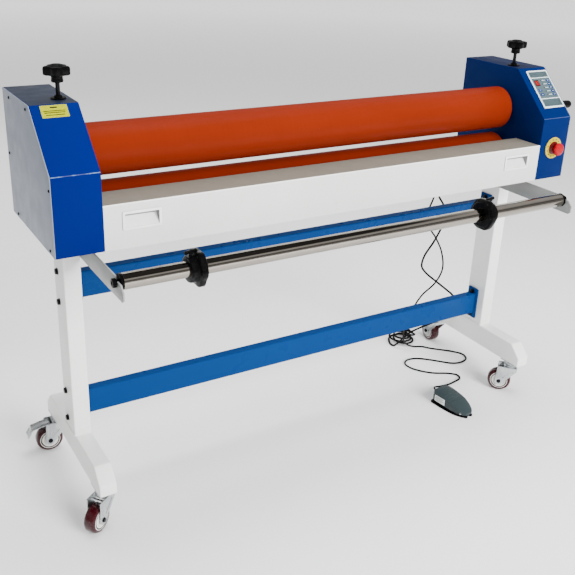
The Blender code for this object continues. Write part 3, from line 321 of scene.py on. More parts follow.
M = {
    "left_blue": powder_coat("left_housing_paint", BLUE, 0.48, shine=0.04),
    # The right housing's paints are darker copies of the left's: painted shade.
    "right_blue": powder_coat("right_housing_painted_shade", RIGHT_HOUSING_SHADED_BLUE, 0.48, shine=0.05),
    # Housing tops: greyer copies of the housing paint, painted light on the top faces.
    "left_top": powder_coat("left_housing_top_painted_light", (0.01, 0.016, 0.034), 0.34, shine=0.3),
    "right_top": powder_coat("right_housing_top_painted_light", (0.003, 0.008, 0.036), 0.4, shine=0.1),
    # Painted highlights on the bend between each housing's front and its desk.
    "left_fold": fold_painted_highlight("left_fold_painted_highlight", BLUE, (0.12, 0.2, 0.36)),
    "right_fold": fold_painted_highlight("right_fold_painted_highlight", RIGHT_HOUSING_SHADED_BLUE, (0.02, 0.06, 0.16)),
    "beam_blue": powder_coat("beam_paint", BEAM_BLUE, 0.3, shine=0.06),
    "cover": powder_coat("cover_paint", GREY, 0.42),
    "pale": powder_coat("stand_paint", PALE, 0.34),
    "table": powder_coat("table_paint", (0.68, 0.7, 0.675), 0.33),
    # The table's top: a darker, browner copy of the table paint, painted shade.
    "table_top": powder_coat("table_top_painted_shade", (0.15, 0.137, 0.112), 0.36, 0.4, 0.15),
    # The table's front bend: a brighter copy of the table paint, painted highlight.
    "table_fold": powder_coat("table_fold_painted_highlight", (0.92, 0.92, 0.9), 0.28),
    "pull": moulding("pull_plastic", (0.93, 0.93, 0.92), 0.35, 900, 0.00004),
    # Dark and mid grey copies of the pull plastic: painted shade in the recess and on the frame's sides.
    "pull_scoop_painted_shade": moulding("pull_scoop_painted_shade", (0.24, 0.25, 0.25), 0.45, shine=0.1),
    "pull_side_painted_shade": moulding("pull_side_painted_shade", (0.46, 0.47, 0.46), 0.4),
    "silicone": silicone("roller_silicone", ORANGE),
    "steel": plated("turned_steel", (0.5, 0.5, 0.51), 0.3, (6, 1, 1)),
    "dark_steel": plated("oiled_steel", (0.16, 0.16, 0.17), 0.38, (2, 2, 2)),
    "chrome": plated("shaft_chrome", (0.3, 0.27, 0.235), 0.09, (0.06, 1, 1), 0.00003),
    "zinc": zinc_plate("bright_zinc", (0.56, 0.59, 0.6)),
    "arm": powder_coat("arm_paint", (0.24, 0.25, 0.24), 0.34),
    "tread": polyurethane("polyurethane_tread", (0.034, 0.001, 0.0036)),
    "hub": moulding("hub_nylon", (0.8, 0.79, 0.76), 0.35, 500),
    "black": moulding("black_plastic", BLACK, 0.26, 800, 0.00004, 0.07),
    "black_metal": plated("blackened_screws", (0.02, 0.02, 0.022), 0.35, (3, 3, 3)),
    "rubber": jacket("cord_jacket", (0.003, 0.003, 0.003)),
    "enamel": powder_coat("motor_enamel", (0.01, 0.01, 0.012), 0.3),
    "yellow": moulding("yellow_plastic", (0.52, 0.4, 0.02), 0.35, shine=0.1),
    "red": moulding("red_plastic", (0.33, 0.0003, 0.006), 0.24, 500, 0.00003, 0.15),
    "dark_red": moulding("dark_red_plastic", (0.1, 0.002, 0.002), 0.35),
    "film_white": printed("film_white", (0.62, 0.68, 0.69), (0.7, 0.75, 0.75)),
    "film_field": printed("film_field", (0.05, 0.08, 0.09), (0.06, 0.092, 0.102)),
    "film_band": printed("film_band", (0.028, 0.046, 0.052), (0.038, 0.06, 0.066)),
    "film_key": printed("film_key", (0.002, 0.016, 0.11), (0.003, 0.022, 0.14)),
    "film_dark": printed("film_dark", (0.004, 0.005, 0.006), (0.008, 0.01, 0.012)),
    "display": printed("display_window", (0.018, 0.001, 0.001), (0.028, 0.002, 0.002), 0.15),
    "display_digit": printed("display_digit", (0.42, 0.01, 0.008), (0.5, 0.015, 0.01), 0.3),
    "label_yellow": printed("label_yellow", (0.29, 0.3, 0.0003), (0.33, 0.34, 0.0006), shine=0.03),
    "label_white": printed("label_white", (0.7, 0.75, 0.74), (0.78, 0.8, 0.79)),
    "pedal": powder_coat("pedal_enamel", (0.026, 0.038, 0.041), 0.36, 0.6, 0.2),
    "floor": floor_finish("studio_floor", (0.92, 0.92, 0.92)),
}


# ---------------------------------------------------------------- shaping tools; most return a bmesh
SHARP_FROM = 38                  # degrees between two faces from which the edge between them looks sharp


def hexagon(angle):
    """How much further a hexagon reaches than its flats, at this angle."""
    return 1 / math.cos((angle % (math.pi / 3)) - math.pi / 6)


def lobes(count, depth):
    """A round shape with this many lobes; depth is a share of the radius."""
    return lambda angle: 1 - depth * (1 - math.cos(count * angle)) / 2


def softened(points, radius, steps=3, closed=False):
    """Round off the corners of a line of flat points."""
    made = []
    for index, point in enumerate(points):
        if not closed and index in (0, len(points) - 1):
            made.append(tuple(point))
            continue
        corner = Vector(point)
        back = Vector(points[index - 1]) - corner
        ahead = Vector(points[(index + 1) % len(points)]) - corner
        reach = min(radius, back.length * 0.48, ahead.length * 0.48)
        start = corner + back.normalized() * reach
        end = corner + ahead.normalized() * reach
        for step in range(steps + 1):
            share = step / steps
            made.append(tuple(start.lerp(corner, share).lerp(corner.lerp(end, share), share)))
    return made


def arc(centre, radius, start, end, steps):
    """Points along a circle, by angles in degrees."""
    points = []
    for index in range(steps + 1):
        angle = math.radians(start + (end - start) * index / steps)
        points.append((centre[0] + radius * math.cos(angle), centre[1] + radius * math.sin(angle)))
    return points


def oblong(x, y, radius, steps=5):
    """A rectangle with round corners."""
    return softened([(x[0], y[0]), (x[1], y[0]), (x[1], y[1]), (x[0], y[1])], radius, steps, True)


def facing(point, direction=(0, 0, 1)):
    """The matrix that carries +Z on to a direction at a point."""
    return Matrix.Translation(point) @ Vector(direction).to_track_quat("Z", "Y").to_matrix().to_4x4()


ACROSS = {
    "X": Matrix(((0, 0, 1, 0), (1, 0, 0, 0), (0, 1, 0, 0), (0, 0, 0, 1))),
    "Y": Matrix(((1, 0, 0, 0), (0, 0, 1, 0), (0, 1, 0, 0), (0, 0, 0, 1))),
    "Z": Matrix.Identity(4),
}


def moved(form, matrix, paint=0):
    """Carry a form by a matrix, turn its faces outward and choose its material by number."""
    bmesh.ops.transform(form, matrix=matrix, verts=form.verts)
    bmesh.ops.recalc_face_normals(form, faces=form.faces)
    for face in form.faces:
        face.material_index = paint
    return form


def joined(form, rings, closed):
    """Join each ring of corners to the next, and the last to the first where closed."""
    sides = len(rings[0])
    for first, second in zip(rings, rings[1:] + rings[:1] if closed else rings[1:]):
        for step in range(sides):
            after = (step + 1) % sides
            corners = dict.fromkeys((first[step], first[after], second[after], second[step]))
            if len(corners) > 2:
                form.faces.new(corners)


def spun(profile, matrix, sides, closed=False, paint=0):
    """Spin (place, radius) points about local Z; a third value bends the ring into another shape."""
    form = bmesh.new()
    rings = []
    for place, radius, *shape in profile:
        if radius == 0:
            rings.append([form.verts.new((0, 0, place))] * sides)
            continue
        ring = []
        for step in range(sides):
            angle = math.tau * step / sides
            reach = radius * (shape[0](angle) if shape else 1.0)
            ring.append(form.verts.new((reach * math.cos(angle), reach * math.sin(angle), place)))
        rings.append(ring)
    joined(form, rings, closed)
    return moved(form, matrix, paint)


def extruded(outline, axis, limits_along, edge, steps=2, paint=0, matrix=Matrix.Identity(4)):
    """Extrude a flat outline along an axis and round the edges of both ends."""
    form = bmesh.new()
    face = form.faces.new([form.verts.new((u, v, limits_along[0])) for u, v in outline])
    grown = bmesh.ops.extrude_face_region(form, geom=[face])["geom"]
    tops = [item for item in grown if isinstance(item, bmesh.types.BMVert)]
    bmesh.ops.translate(form, vec=(0, 0, limits_along[1] - limits_along[0]), verts=tops)
    if edge > 0:
        rims = [item for item in form.edges if abs(item.verts[0].co.z - item.verts[1].co.z) < 1e-9]
        bmesh.ops.bevel(form, geom=rims, offset=edge, segments=steps, affect="EDGES", profile=0.5,
                        clamp_overlap=True)
    return moved(form, matrix @ ACROSS[axis], paint)


def block(x, y, z, edge, matrix):
    """A box with rounded edges."""
    form = bmesh.new()
    bmesh.ops.create_cube(form, size=1.0)
    size = Vector((x[1] - x[0], y[1] - y[0], z[1] - z[0]))
    middle = Vector(((x[0] + x[1]) / 2, (y[0] + y[1]) / 2, (z[0] + z[1]) / 2))
    placed = Matrix.Translation(middle) @ Matrix.Diagonal((*size, 1.0))
    bmesh.ops.transform(form, matrix=placed, verts=form.verts)
    bmesh.ops.bevel(form, geom=form.edges[:], offset=edge, segments=2, affect="EDGES", profile=0.5)
    return moved(form, matrix)


def swept(path, radius, sides, closed=False, paint=0):
    """A round bar along a path."""
    points = [Vector(point) for point in path]
    count = len(points)
    form = bmesh.new()
    rings = []
    normal = None
    for index, point in enumerate(points):
        before = points[index - 1] if index or closed else point
        after = points[(index + 1) % count] if index < count - 1 or closed else point
        heading = (after - before).normalized()
        if normal is None:
            normal = heading.orthogonal().normalized()
        normal = (normal - heading * normal.dot(heading)).normalized()
        other = heading.cross(normal)
        ring = []
        for step in range(sides):
            angle = math.tau * step / sides
            ring.append(form.verts.new(point + (normal * math.cos(angle) + other * math.sin(angle)) * radius))
        rings.append(ring)
    joined(form, rings, closed)
    if not closed:
        form.faces.new(rings[0])
        form.faces.new(rings[-1])
    return moved(form, Matrix.Identity(4), paint)


def drill(place, direction, radius, reach=0.01, sides=48):
    """A plain cylinder that reaches as far to either side of a place."""
    return spun([(-reach, 0), (-reach, radius), (reach, radius), (reach, 0)], facing(place, direction), sides)


def merged(*forms):
    """Put several forms into one."""
    whole = bmesh.new()
    for form in forms:
        mesh = as_mesh(form, "part")
        whole.from_mesh(mesh)
        bpy.data.meshes.remove(mesh)
    return whole


def carved(form, tools, operation="DIFFERENCE"):
    """Cut the tools from a form, or unite or intersect them with it."""
    target = in_scene("carving", as_mesh(form, "carving"))
    for tool in tools:
        cutter = in_scene("carving", as_mesh(tool, "carving"))
        step = target.modifiers.new("carve", "BOOLEAN")
        step.operation = operation
        step.solver = "EXACT"
        step.object = cutter
        graph = bpy.context.evaluated_depsgraph_get()
        target.data = bpy.data.meshes.new_from_object(target.evaluated_get(graph))
        target.modifiers.clear()
        bpy.data.objects.remove(cutter)
    result = bmesh.new()
    result.from_mesh(target.data)
    bpy.data.objects.remove(target)
    return result


def repainted(form, index, test):
    """Give another material to the faces whose middle and normal pass a test."""
    form.normal_update()
    for face in form.faces:
        if test(face.calc_center_median(), face.normal):
            face.material_index = index
    return form


def broken_edges(form, width, angle):
    """Round every edge sharper than an angle."""
    sharp = [edge for edge in form.edges if edge.is_manifold
             and edge.calc_face_angle(0) > math.radians(angle)]
    bmesh.ops.bevel(form, geom=sharp, offset=width, segments=2, affect="EDGES", profile=0.5,
                    clamp_overlap=True)
    return form


def piece(name, form, body, materials, replaces=()):
    """Make a form into a named piece that rides on a body."""
    bmesh.ops.translate(form, vec=MIDDLE, verts=form.verts)
    mesh = as_mesh(form, name)
    for key in materials:
        mesh.materials.append(M[key].material)
    mesh.shade_smooth()
    mesh.set_sharp_from_angle(angle=math.radians(SHARP_FROM))
    made = in_scene(name, mesh)
    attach(made, body)
    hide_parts(*replaces)
    return made


# ---------------------------------------------------------------- cords
PEDAL_CORD_RADIUS = 0.003
POWER_CORD_RADIUS = 0.0035
GLAND_MOUTH = 0.6515
PEDAL_GLAND = (0.112, 0.778)
POWER_GLAND = (0.146, 0.778)
COIL_CENTRE = (0.598, 0.27)
COIL_LOOPS = ((0.0, 0.0, 0.0465), (0.006, -0.004, 0.034), (-0.005, 0.005, 0.038), (0.004, 0.003, 0.029),
              (-0.002, 0.0, 0.02))
COIL_LAYER = 0.0072
COIL_HEIGHT = 0.0038             # height of the first turn's start
COIL_START = 160                 # degrees, where the first turn starts
COIL_CLIMB = 3                   # whole turns over which the coil climbs
CLEARANCE = 0.0002               # between a cord and the floor
ROUTE_STEP = 0.006
PLUG_X = 0.654
PLUG_START_Y = 0.274
PLUG_Z = 0.0182
SWITCH_CENTRE = Vector((0.463, -0.1745, 0.0))
SWITCH_TURN = math.radians(-83)
SWITCH_PLACE = Matrix.Translation(SWITCH_CENTRE) @ Matrix.Rotation(SWITCH_TURN, 4, "Z")
PEDAL_ROUTE = [
    (GLAND_MOUTH, *PEDAL_GLAND), (0.618, *PEDAL_GLAND), (0.588, 0.122, 0.742), (0.572, 0.14, 0.67),
    (0.572, 0.148, 0.602), (0.556, 0.15, 0.552), (0.566, 0.15, 0.502), (0.605, 0.15, 0.45),
    (0.64, 0.152, 0.391), (0.655, 0.155, 0.324), (0.632, 0.158, 0.276), (0.58, 0.162, 0.236),
    (0.546, 0.168, 0.18), (0.536, 0.182, 0.115), (0.547, 0.197, 0.055), (0.578, 0.206, 0.018),
    (0.612, 0.205, 0.004), (0.637, 0.193, 0.0032), (0.655, 0.17, 0.0032), (0.68, 0.146, 0.0032),
    (0.712, 0.115, 0.0032), (0.733, 0.08, 0.0032), (0.722, 0.05, 0.0032), (0.69, 0.038, 0.0032),
    (0.655, 0.046, 0.0032), (0.625, 0.074, 0.0032), (0.592, 0.108, 0.0032), (0.556, 0.134, 0.0032),
    (0.523, 0.138, 0.0032), (0.501, 0.122, 0.0032), (0.498, 0.094, 0.0032), (0.516, 0.056, 0.0032),
    (0.55, 0.022, 0.0032), (0.592, -0.002, 0.0032), (0.614, -0.026, 0.0032), (0.606, -0.0465, 0.0032),
    (0.578, -0.055, 0.0032), (0.546, -0.06, 0.0032), (0.511, -0.058, 0.004), (0.4835, -0.0595, 0.009),
    (0.4712, -0.074, 0.013), tuple(SWITCH_PLACE @ Vector((-0.0815, 0.02, 0.014))),
]
POWER_ROUTE = [
    (GLAND_MOUTH, *POWER_GLAND), (0.618, *POWER_GLAND), (0.592, 0.154, 0.74), (0.59, 0.164, 0.665),
    (0.61, 0.168, 0.6), (0.644, 0.17, 0.55), (0.65, 0.172, 0.495), (0.62, 0.174, 0.43),
    (0.58, 0.172, 0.38), (0.566, 0.163, 0.348), (0.574, 0.148, 0.329), (0.602, 0.12, 0.301),
    (0.63, 0.098, 0.275), (0.653, 0.085, 0.252), (0.671, 0.092, 0.212), (0.673, 0.112, 0.168),
    (0.652, 0.145, 0.128), (0.613, 0.172, 0.102), (0.58, 0.205, 0.068), (0.556, 0.226, 0.03),
    (0.5445, 0.242, 0.007), (0.5435, 0.264, 0.0042),
]


def smooth_route(points, step):
    """Points a step apart along a centripetal Catmull-Rom curve through the given points."""
    knots = [Vector(point) for point in points]
    knots = [2 * knots[0] - knots[1]] + knots + [2 * knots[-1] - knots[-2]]
    dense = []
    for a, b, c, d in zip(knots, knots[1:], knots[2:], knots[3:]):
        t1 = (b - a).length ** 0.5
        t2 = t1 + (c - b).length ** 0.5
        t3 = t2 + (d - c).length ** 0.5
        pieces = max(2, round((c - b).length / step))
        for index in range(pieces):
            t = t1 + (t2 - t1) * index / pieces
            ab = a.lerp(b, t / t1)
            bc = b.lerp(c, (t - t1) / (t2 - t1))
            cd = c.lerp(d, (t - t2) / (t3 - t2))
            abc = ab.lerp(bc, t / t2)
            bcd = bc.lerp(cd, (t - t1) / (t3 - t1))
            dense.append(abc.lerp(bcd, (t - t1) / (t2 - t1)))
    dense.append(knots[-2])
    return dense


def coil_turns():
    """The spare turns: loose loops that wander and shrink as they climb."""
    points = []
    per_turn = 16
    start = math.radians(COIL_START)
    total = COIL_CLIMB + COIL_START / 360
    for index in range(int(total * per_turn) + 1):
        turn = index / per_turn
        share = turn % 1
        across, along, radius = (a + (b - a) * share for a,
                                 b in zip(COIL_LOOPS[int(turn)], COIL_LOOPS[int(turn) + 1]))
        angle = start - math.tau * turn
        points.append((COIL_CENTRE[0] + across + radius * math.cos(angle),
                       COIL_CENTRE[1] + along + radius * math.sin(angle),
                       COIL_HEIGHT + COIL_LAYER * min(turn, COIL_CLIMB)))
    return points


def make_cord(name, route, radius, nodes):
    points = smooth_route(route, ROUTE_STEP)
    for point in points:
        point.z = max(point.z, radius + CLEARANCE)
    curve = bpy.data.curves.new(name, "CURVE")
    curve.dimensions = "3D"
    curve.bevel_depth = radius
    curve.bevel_resolution = 4
    curve.use_fill_caps = True
    line = curve.splines.new("POLY")
    line.points.add(len(points) - 1)
    for spot, point in zip(line.points, points):
        spot.co = (*(point + MIDDLE), 1.0)
    line.use_smooth = True
    curve.materials.append(M["rubber"].material)
    made = in_scene(name, curve)
    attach(made, "stand")
    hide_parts(*nodes)


def power_plug():
    """Moulded two-pin plug with a ribbed strain relief; its pins are bright zinc."""
    place = facing((PLUG_X, PLUG_START_Y, PLUG_Z), (0, 1, 0))
    relief = [(0, 0), (0, 0.004)]
    for index in range(6):
        start = 0.002 + index * 0.0046
        reach = 0.0044 + index * 0.00035
        relief += [(start, reach), (start + 0.003, reach), (start + 0.0032, reach - 0.0009),
                   (start + 0.0044, reach - 0.0009)]
    body = softened([(0.03, 0.0062), (0.031, 0.011), (0.04, 0.0135), (0.062, 0.0172), (0.068, 0.0172)], 0.003)
    shell = spun(relief + body + [(0.0685, 0.0165), (0.0685, 0)], place, 48)
    forms = [shell]
    for offset in (-0.0095, 0.0095):
        pin = [(0.066, 0), (0.066, 0.0024), (0.0845, 0.0024), (0.0865, 0.0014), (0.0868, 0)]
        forms.append(spun(pin, facing((PLUG_X + offset, PLUG_START_Y, PLUG_Z), (0, 1, 0)), 24, paint=1))
    for height in (0.046, 0.051, 0.056):
        forms.append(spun([(height, 0.0137), (height + 0.0005, 0.0166), (height + 0.0016, 0.0169),
                           (height + 0.0021, 0.0137)], place, 48, closed=True))
    return piece("power_plug_moulding", merged(*forms), "stand", ["black", "zinc"],
                 ["power_plug"])


def cord_glands():
    """Two ribbed glands on one plate on the housing's inner wall."""
    low, high = limits("cord_gland")
    plate = extruded(oblong((low.y, high.y), (low.z, high.z), 0.003), "X", (high.x - 0.003, high.x), 0.0006)
    forms = [plate]
    for y, z in (PEDAL_GLAND, POWER_GLAND):
        length = high.x - 0.002 - low.x
        profile = [(0, 0), (0, 0.0098), (0.004, 0.0098, hexagon), (0.0075, 0.0095, hexagon), (0.0078, 0.0085)]
        profile += [(0.01, 0.0076), (0.0115, 0.0076), (0.0118, 0.0066), (length - 0.001, 0.006),
                    (length, 0.005), (length, 0)]
        forms.append(spun(profile, facing((high.x - 0.002, y, z), (-1, 0, 0)), 48))
    for y in (low.y + 0.004, high.y - 0.004):
        for z in (low.z + 0.004, high.z - 0.004):
            forms.append(screw((high.x - 0.003, y, z), (-1, 0, 0), 0.0022, paint=1))
    piece("cord_gland_moulding", merged(*forms), "stand", ["black", "black_metal"],
          ["cord_gland"])


# ---------------------------------------------------------------- fasteners
def screw(place, direction, radius, paint=0):
    """A button head with a hexagon socket."""
    high = radius * 0.62
    socket = radius * 0.42
    profile = [(0, 0), (0, radius), (high * 0.35, radius * 0.97), (high * 0.8, radius * 0.76),
               (high, radius * 0.56), (high, socket, hexagon), (high * 0.35, socket, hexagon),
               (high * 0.3, 0)]
    return spun(profile, facing(place, direction), 24, paint=paint)


def bolt(place, direction, across=0.013, paint=0):
    """A hexagon head on its washer."""
    flat = across / 2
    base = 0.0016
    washer = [(0, 0), (0, flat * 1.3), (0.0004, flat * 1.35), (0.0012, flat * 1.35), (base, flat * 1.3),
              (base, 0)]
    top = base + across * 0.4
    head = [(base, 0), (base, flat, hexagon), (top - 0.0008, flat, hexagon), (top - 0.0002, flat * 0.97),
            (top, flat * 0.9), (top, flat * 0.5), (top - 0.0004, 0)]
    return merged(*[spun(profile, facing(place, direction), 36, paint=paint) for profile in (washer, head)])


# ---------------------------------------------------------------- stand
def stand_posts(name, side):
    low, high = limits(f"{name}_leg_post")
    outline = oblong((low.x, high.x), (low.y, high.y), 0.004)
    post = extruded(outline, "Z", (low.z, high.z), 0.0005)
    bead_path = []
    for index, (x, y) in enumerate(oblong((low.x - 0.0005, high.x + 0.0005),
                                          (low.y - 0.0005, high.y + 0.0005), 0.0045, 8)):
        bead_path.append((x, y, low.z + 0.0008 + 0.0003 * math.sin(index * 1.7)))
    bead = swept(bead_path, 0.0021, 8, True)
    piece(f"{name}_leg", merged(post, bead), "stand", ["pale"], [f"{name}_leg_post"])
    outer = high.x if side > 0 else low.x
    heads = []
    for beam in ("upper", "lower"):
        beam_low, beam_high = limits(f"{beam}_cross_beam")
        middle = (beam_low.z + beam_high.z) / 2
        for offset in BEAM_BOLTS:
            heads.append(bolt((outer, BEAM_Y, middle + offset), (side, 0, 0)))
    piece(f"{name}_leg_bolts", merged(*heads), "stand", ["black_metal"])


def foot_beam(name):
    low, high = limits(f"{name}_foot_beam")
    chamfer = 0.038
    outline = [(low.y, low.z), (high.y, low.z), (high.y, high.z - chamfer), (high.y - chamfer, high.z),
               (low.y + chamfer, high.z), (low.y, high.z - chamfer)]
    foot = extruded(softened(outline, 0.004, 4, True), "X", (low.x, high.x), 0.0035, 4)
    piece(f"{name}_foot", foot, "stand", ["pale"], [f"{name}_foot_beam"])


def cross_beam(name):
    low, high = limits(f"{name}_cross_beam")
    middle = (low.z + high.z) / 2
    depth, height = 0.03, 0.07
    outline = oblong((BEAM_Y - depth / 2, BEAM_Y + depth / 2), (middle - height / 2, middle + height / 2),
                     0.0035)
    forms = [extruded(outline, "X", (low.x + 0.001, high.x - 0.001), 0.0004)]
    nuts = []
    for side in SIDES.values():
        face = high.x - 0.006
        plate = oblong((low.y, high.y), (low.z, high.z), 0.002)
        forms.append(extruded(plate, "X", span(side, face, high.x), 0.0008))
        ring = [(side * (face - 0.0006), y, z) for y,
                z in oblong((BEAM_Y - depth / 2, BEAM_Y + depth / 2),
                            (middle - height / 2, middle + height / 2), 0.0035, 6)]
        forms.append(swept(ring, 0.002, 8, True))
        for offset in BEAM_BOLTS:
            nuts.append(bolt((side * face, BEAM_Y, middle + offset), (-side, 0, 0)))
    piece(f"{name}_beam", merged(*forms), "stand", ["beam_blue"], [f"{name}_cross_beam"])
    piece(f"{name}_beam_nuts", merged(*nuts), "stand", ["black_metal"])


def shaft_arm(name, side):
    low, high = limits(f"{name}_shaft_arm")
    shaft_low, shaft_high = limits("supply_shaft")
    y, z = (shaft_low.y + shaft_high.y) / 2, (shaft_low.z + shaft_high.z) / 2
    notch = 0.0063
    outline = [(high.y, low.z), (low.y + 0.008, low.z), (low.y, low.z + 0.006), (low.y, 0.699),
               (low.y + 0.014, 0.7135), (y - notch, 0.7135)]
    outline += arc((y, z), notch, 180, 360, 12) + [(y + notch, high.z), (high.y, high.z)]
    arm = extruded(outline, "X", (low.x, high.x), 0.0006)
    inner = low.x if side > 0 else high.x
    heads = [bolt((inner, place, (low.z + high.z) / 2), (-side, 0, 0), 0.01, paint=1)
             for place in (-0.014, 0.028)]
    piece(f"{name}_arm", merged(arm, *heads), "stand", ["arm", "black_metal"],
          [f"{name}_shaft_arm"])


# ---------------------------------------------------------------- casters
CASTER_TURNS = {"front_left": 216, "front_right": 131, "rear_left": 176, "rear_right": 85}
TRAIL = 0.032
WHEEL_RADIUS = 0.0375
BRAKE_PIN = (0.0315, 0.086)


def caster_mount(corner, pivot, top):
    """The plate under the foot and the race that the fork turns in."""
    here = Matrix.Translation(pivot)
    forms = [extruded(oblong((-0.022, 0.022), (-0.031, 0.031), 0.004), "Z", (top - 0.003, top), 0.0006,
                      matrix=here)]
    race = [(0.0885, 0), (0.0885, 0.0052), (0.0905, 0.0052), (0.0995, 0.0052), (0.0995, 0.0165),
            (0.1005, 0.0185), (0.1025, 0.02), (0.1045, 0.02), (0.106, 0.0185), (0.108, 0.019),
            (top - 0.002, 0.0215), (top - 0.002, 0)]
    forms.append(spun(race, here, 64))
    for x in (-0.016, 0.016):
        for y in (-0.025, 0.025):
            forms.append(screw(pivot + Vector((x, y, top - 0.003)), (0, 0, -1), 0.004))
    piece(f"{corner}_caster_mount", merged(*forms), "stand", ["zinc"], [f"{corner}_caster_plate"])


def caster_fork(corner, turned_here, axle_end):
    inner, outer = 0.0185, 0.0215
    cheek = [(-0.021, 0.0805), (-0.021, 0.0925), (0.041, 0.0925)]
    cheek = softened(cheek + arc((TRAIL, WHEEL_RADIUS), 0.0128, 20, -160, 14), 0.004, 3, True)
    forms = []
    for side in (-1, 1):
        forms.append(extruded(cheek, "Y", span(side, inner, outer), 0.0008, matrix=turned_here))
        for rib in ([(-0.008, 0.08), (0.01, 0.064), (0.021, 0.05)],
                    [(0.036, 0.088), (0.037, 0.07), (0.037, 0.053)]):
            path = [turned_here @ Vector((u, side * outer, z)) for u, z in softened(rib, 0.006, 4)]
            forms.append(swept(path, 0.0012, 8))
        axle = [(inner, 0), (inner, 0.007), (outer, 0.007), (outer + 0.0002, 0.0068),
                (outer + 0.0006, 0.0058, hexagon), (outer + 0.0026, 0.0058, hexagon), (outer + 0.003, 0.005),
                (outer + 0.003, 0)]
        forms.append(spun(axle, turned_here @ facing((TRAIL, 0, WHEEL_RADIUS), (0, side, 0)), 36, paint=1))
    saddle = oblong((-0.021, 0.0222), (-outer + 0.0002, outer - 0.0002), 0.003)
    forms.append(extruded(saddle, "Z", (0.082, 0.0925), 0.001, matrix=turned_here))
    crown = [(0.0885, 0.0058), (0.0885, 0.019), (0.092, 0.0208), (0.094, 0.0209), (0.095, 0.0198),
             (0.096, 0.0204), (0.098, 0.0202), (0.0992, 0.0182), (0.0992, 0.0058)]
    forms.append(spun(crown, turned_here, 64, closed=True))
    forms.append(spun([(-inner, 0), (-inner, 0.0034), (inner, 0.0034), (inner, 0)], axle_end, 24, paint=1))
    piece(f"{corner}_caster_forks", merged(*forms), f"{corner}_fork", ["zinc", "black_metal"],
          [f"{corner}_caster_fork"])


def caster_wheel(corner, axle_end):
    def ring(half, material, sides=72):
        """A wheel part that is the same on both sides, from its outer profile."""
        whole = [(-place, radius) for place, radius in reversed(half)] + half
        return spun(whole, axle_end, sides, closed=True, paint=material)

    rim = WHEEL_RADIUS
    tread = [(0.007, rim), (0.0115, rim - 0.0009), (0.014, rim - 0.0027), (0.0155, rim - 0.0055),
             (0.016, rim - 0.0068), (0.0158, 0.0285), (0.013, 0.0275)]
    hub = [(0.013, 0.0275), (0.0152, 0.0283), (0.0157, 0.0274), (0.0157, 0.0265), (0.0146, 0.0261),
           (0.0146, 0.0233), (0.0154, 0.0229), (0.0154, 0.0204), (0.0144, 0.0199), (0.012, 0.019),
           (0.012, 0.0165), (0.0132, 0.0152), (0.0142, 0.0148), (0.0142, 0.0112)]
    bearing = [(0.0146, 0.011), (0.0148, 0.01), (0.0138, 0.0092), (0.0138, 0.0072), (0.0148, 0.0064),
               (0.0158, 0.0058), (0.0158, 0.004)]
    # A thin black ring laid in the hub's groove: painted shade.
    groove_shade = [(0.0153, 0.0264), (0.0153, 0.023)]
    wheel = merged(ring(tread, 0), ring(hub, 1), ring(bearing, 2, 48), ring(groove_shade, 3))
    piece(f"{corner}_caster_wheels", wheel, f"{corner}_wheel",
          ["tread", "hub", "zinc", "black"], [f"{corner}_caster_wheel"])


def brake_lever(corner, turned_here):
    pin = turned_here @ Matrix.Translation((BRAKE_PIN[0], 0, BRAKE_PIN[1]))
    lever = [(-0.001, 0.0015), (0.02, -0.0015), (0.0455, -0.0085), (0.059, -0.03), (0.0622, -0.0288),
             (0.0488, -0.0062), (0.021, 0.0012), (-0.001, 0.004)]
    forms = [extruded(softened(lever, 0.0012, 3, True), "Y", (-0.0165, 0.0165), 0.001, matrix=pin)]
    half = [(0.0178, 0), (0.0178, 0.0034), (0.017, 0.004)]
    barrel = [(-place, radius) for place, radius in half] + half[::-1]
    forms.append(spun(barrel, pin @ facing((0, 0, 0), (0, 1, 0)), 32))
    for share in (0.3, 0.46, 0.62, 0.78):
        path = [pin @ Vector((0.0488 + 0.0134 * share, y, -0.0062 - 0.0226 * share)) for y in (-0.014, 0.014)]
        forms.append(swept(path, 0.0008, 8))
    piece(f"{corner}_brake_lever", merged(*forms), f"{corner}_brake", ["zinc"],
          [f"{corner}_brake_pedal"])


def caster(corner):
    plate_low, plate_high = limits(f"{corner}_caster_plate")
    pivot = Vector(((plate_low.x + plate_high.x) / 2, (plate_low.y + plate_high.y) / 2, 0))
    turned_here = Matrix.Translation(pivot) @ Matrix.Rotation(math.radians(CASTER_TURNS[corner]), 4, "Z")
    axle_end = turned_here @ Matrix.Translation((TRAIL, 0, WHEEL_RADIUS)) @ facing((0, 0, 0), (0, 1, 0))
    caster_mount(corner, pivot, plate_high.z)
    caster_fork(corner, turned_here, axle_end)
    caster_wheel(corner, axle_end)
    if corner.startswith("rear"):
        brake_lever(corner, turned_here)


# ---------------------------------------------------------------- housings
def housing_outline(inset):
    """The side view of a housing: square back, and a sloped desk above the front."""
    slope = Vector((DESK_TOP_Y - HOUSING_FRONT, HOUSING_TOP - DESK_BOTTOM)).normalized()
    lean = inset * (1 - slope.x) / slope.y
    drop = inset * (1 - slope.y) / slope.x
    return [(HOUSING_FRONT + inset, HOUSING_BOTTOM + inset), (HOUSING_BACK - inset, HOUSING_BOTTOM + inset),
            (HOUSING_BACK - inset, HOUSING_TOP - inset), (DESK_TOP_Y + lean, HOUSING_TOP - inset),
            (HOUSING_FRONT + inset, DESK_BOTTOM - drop)]


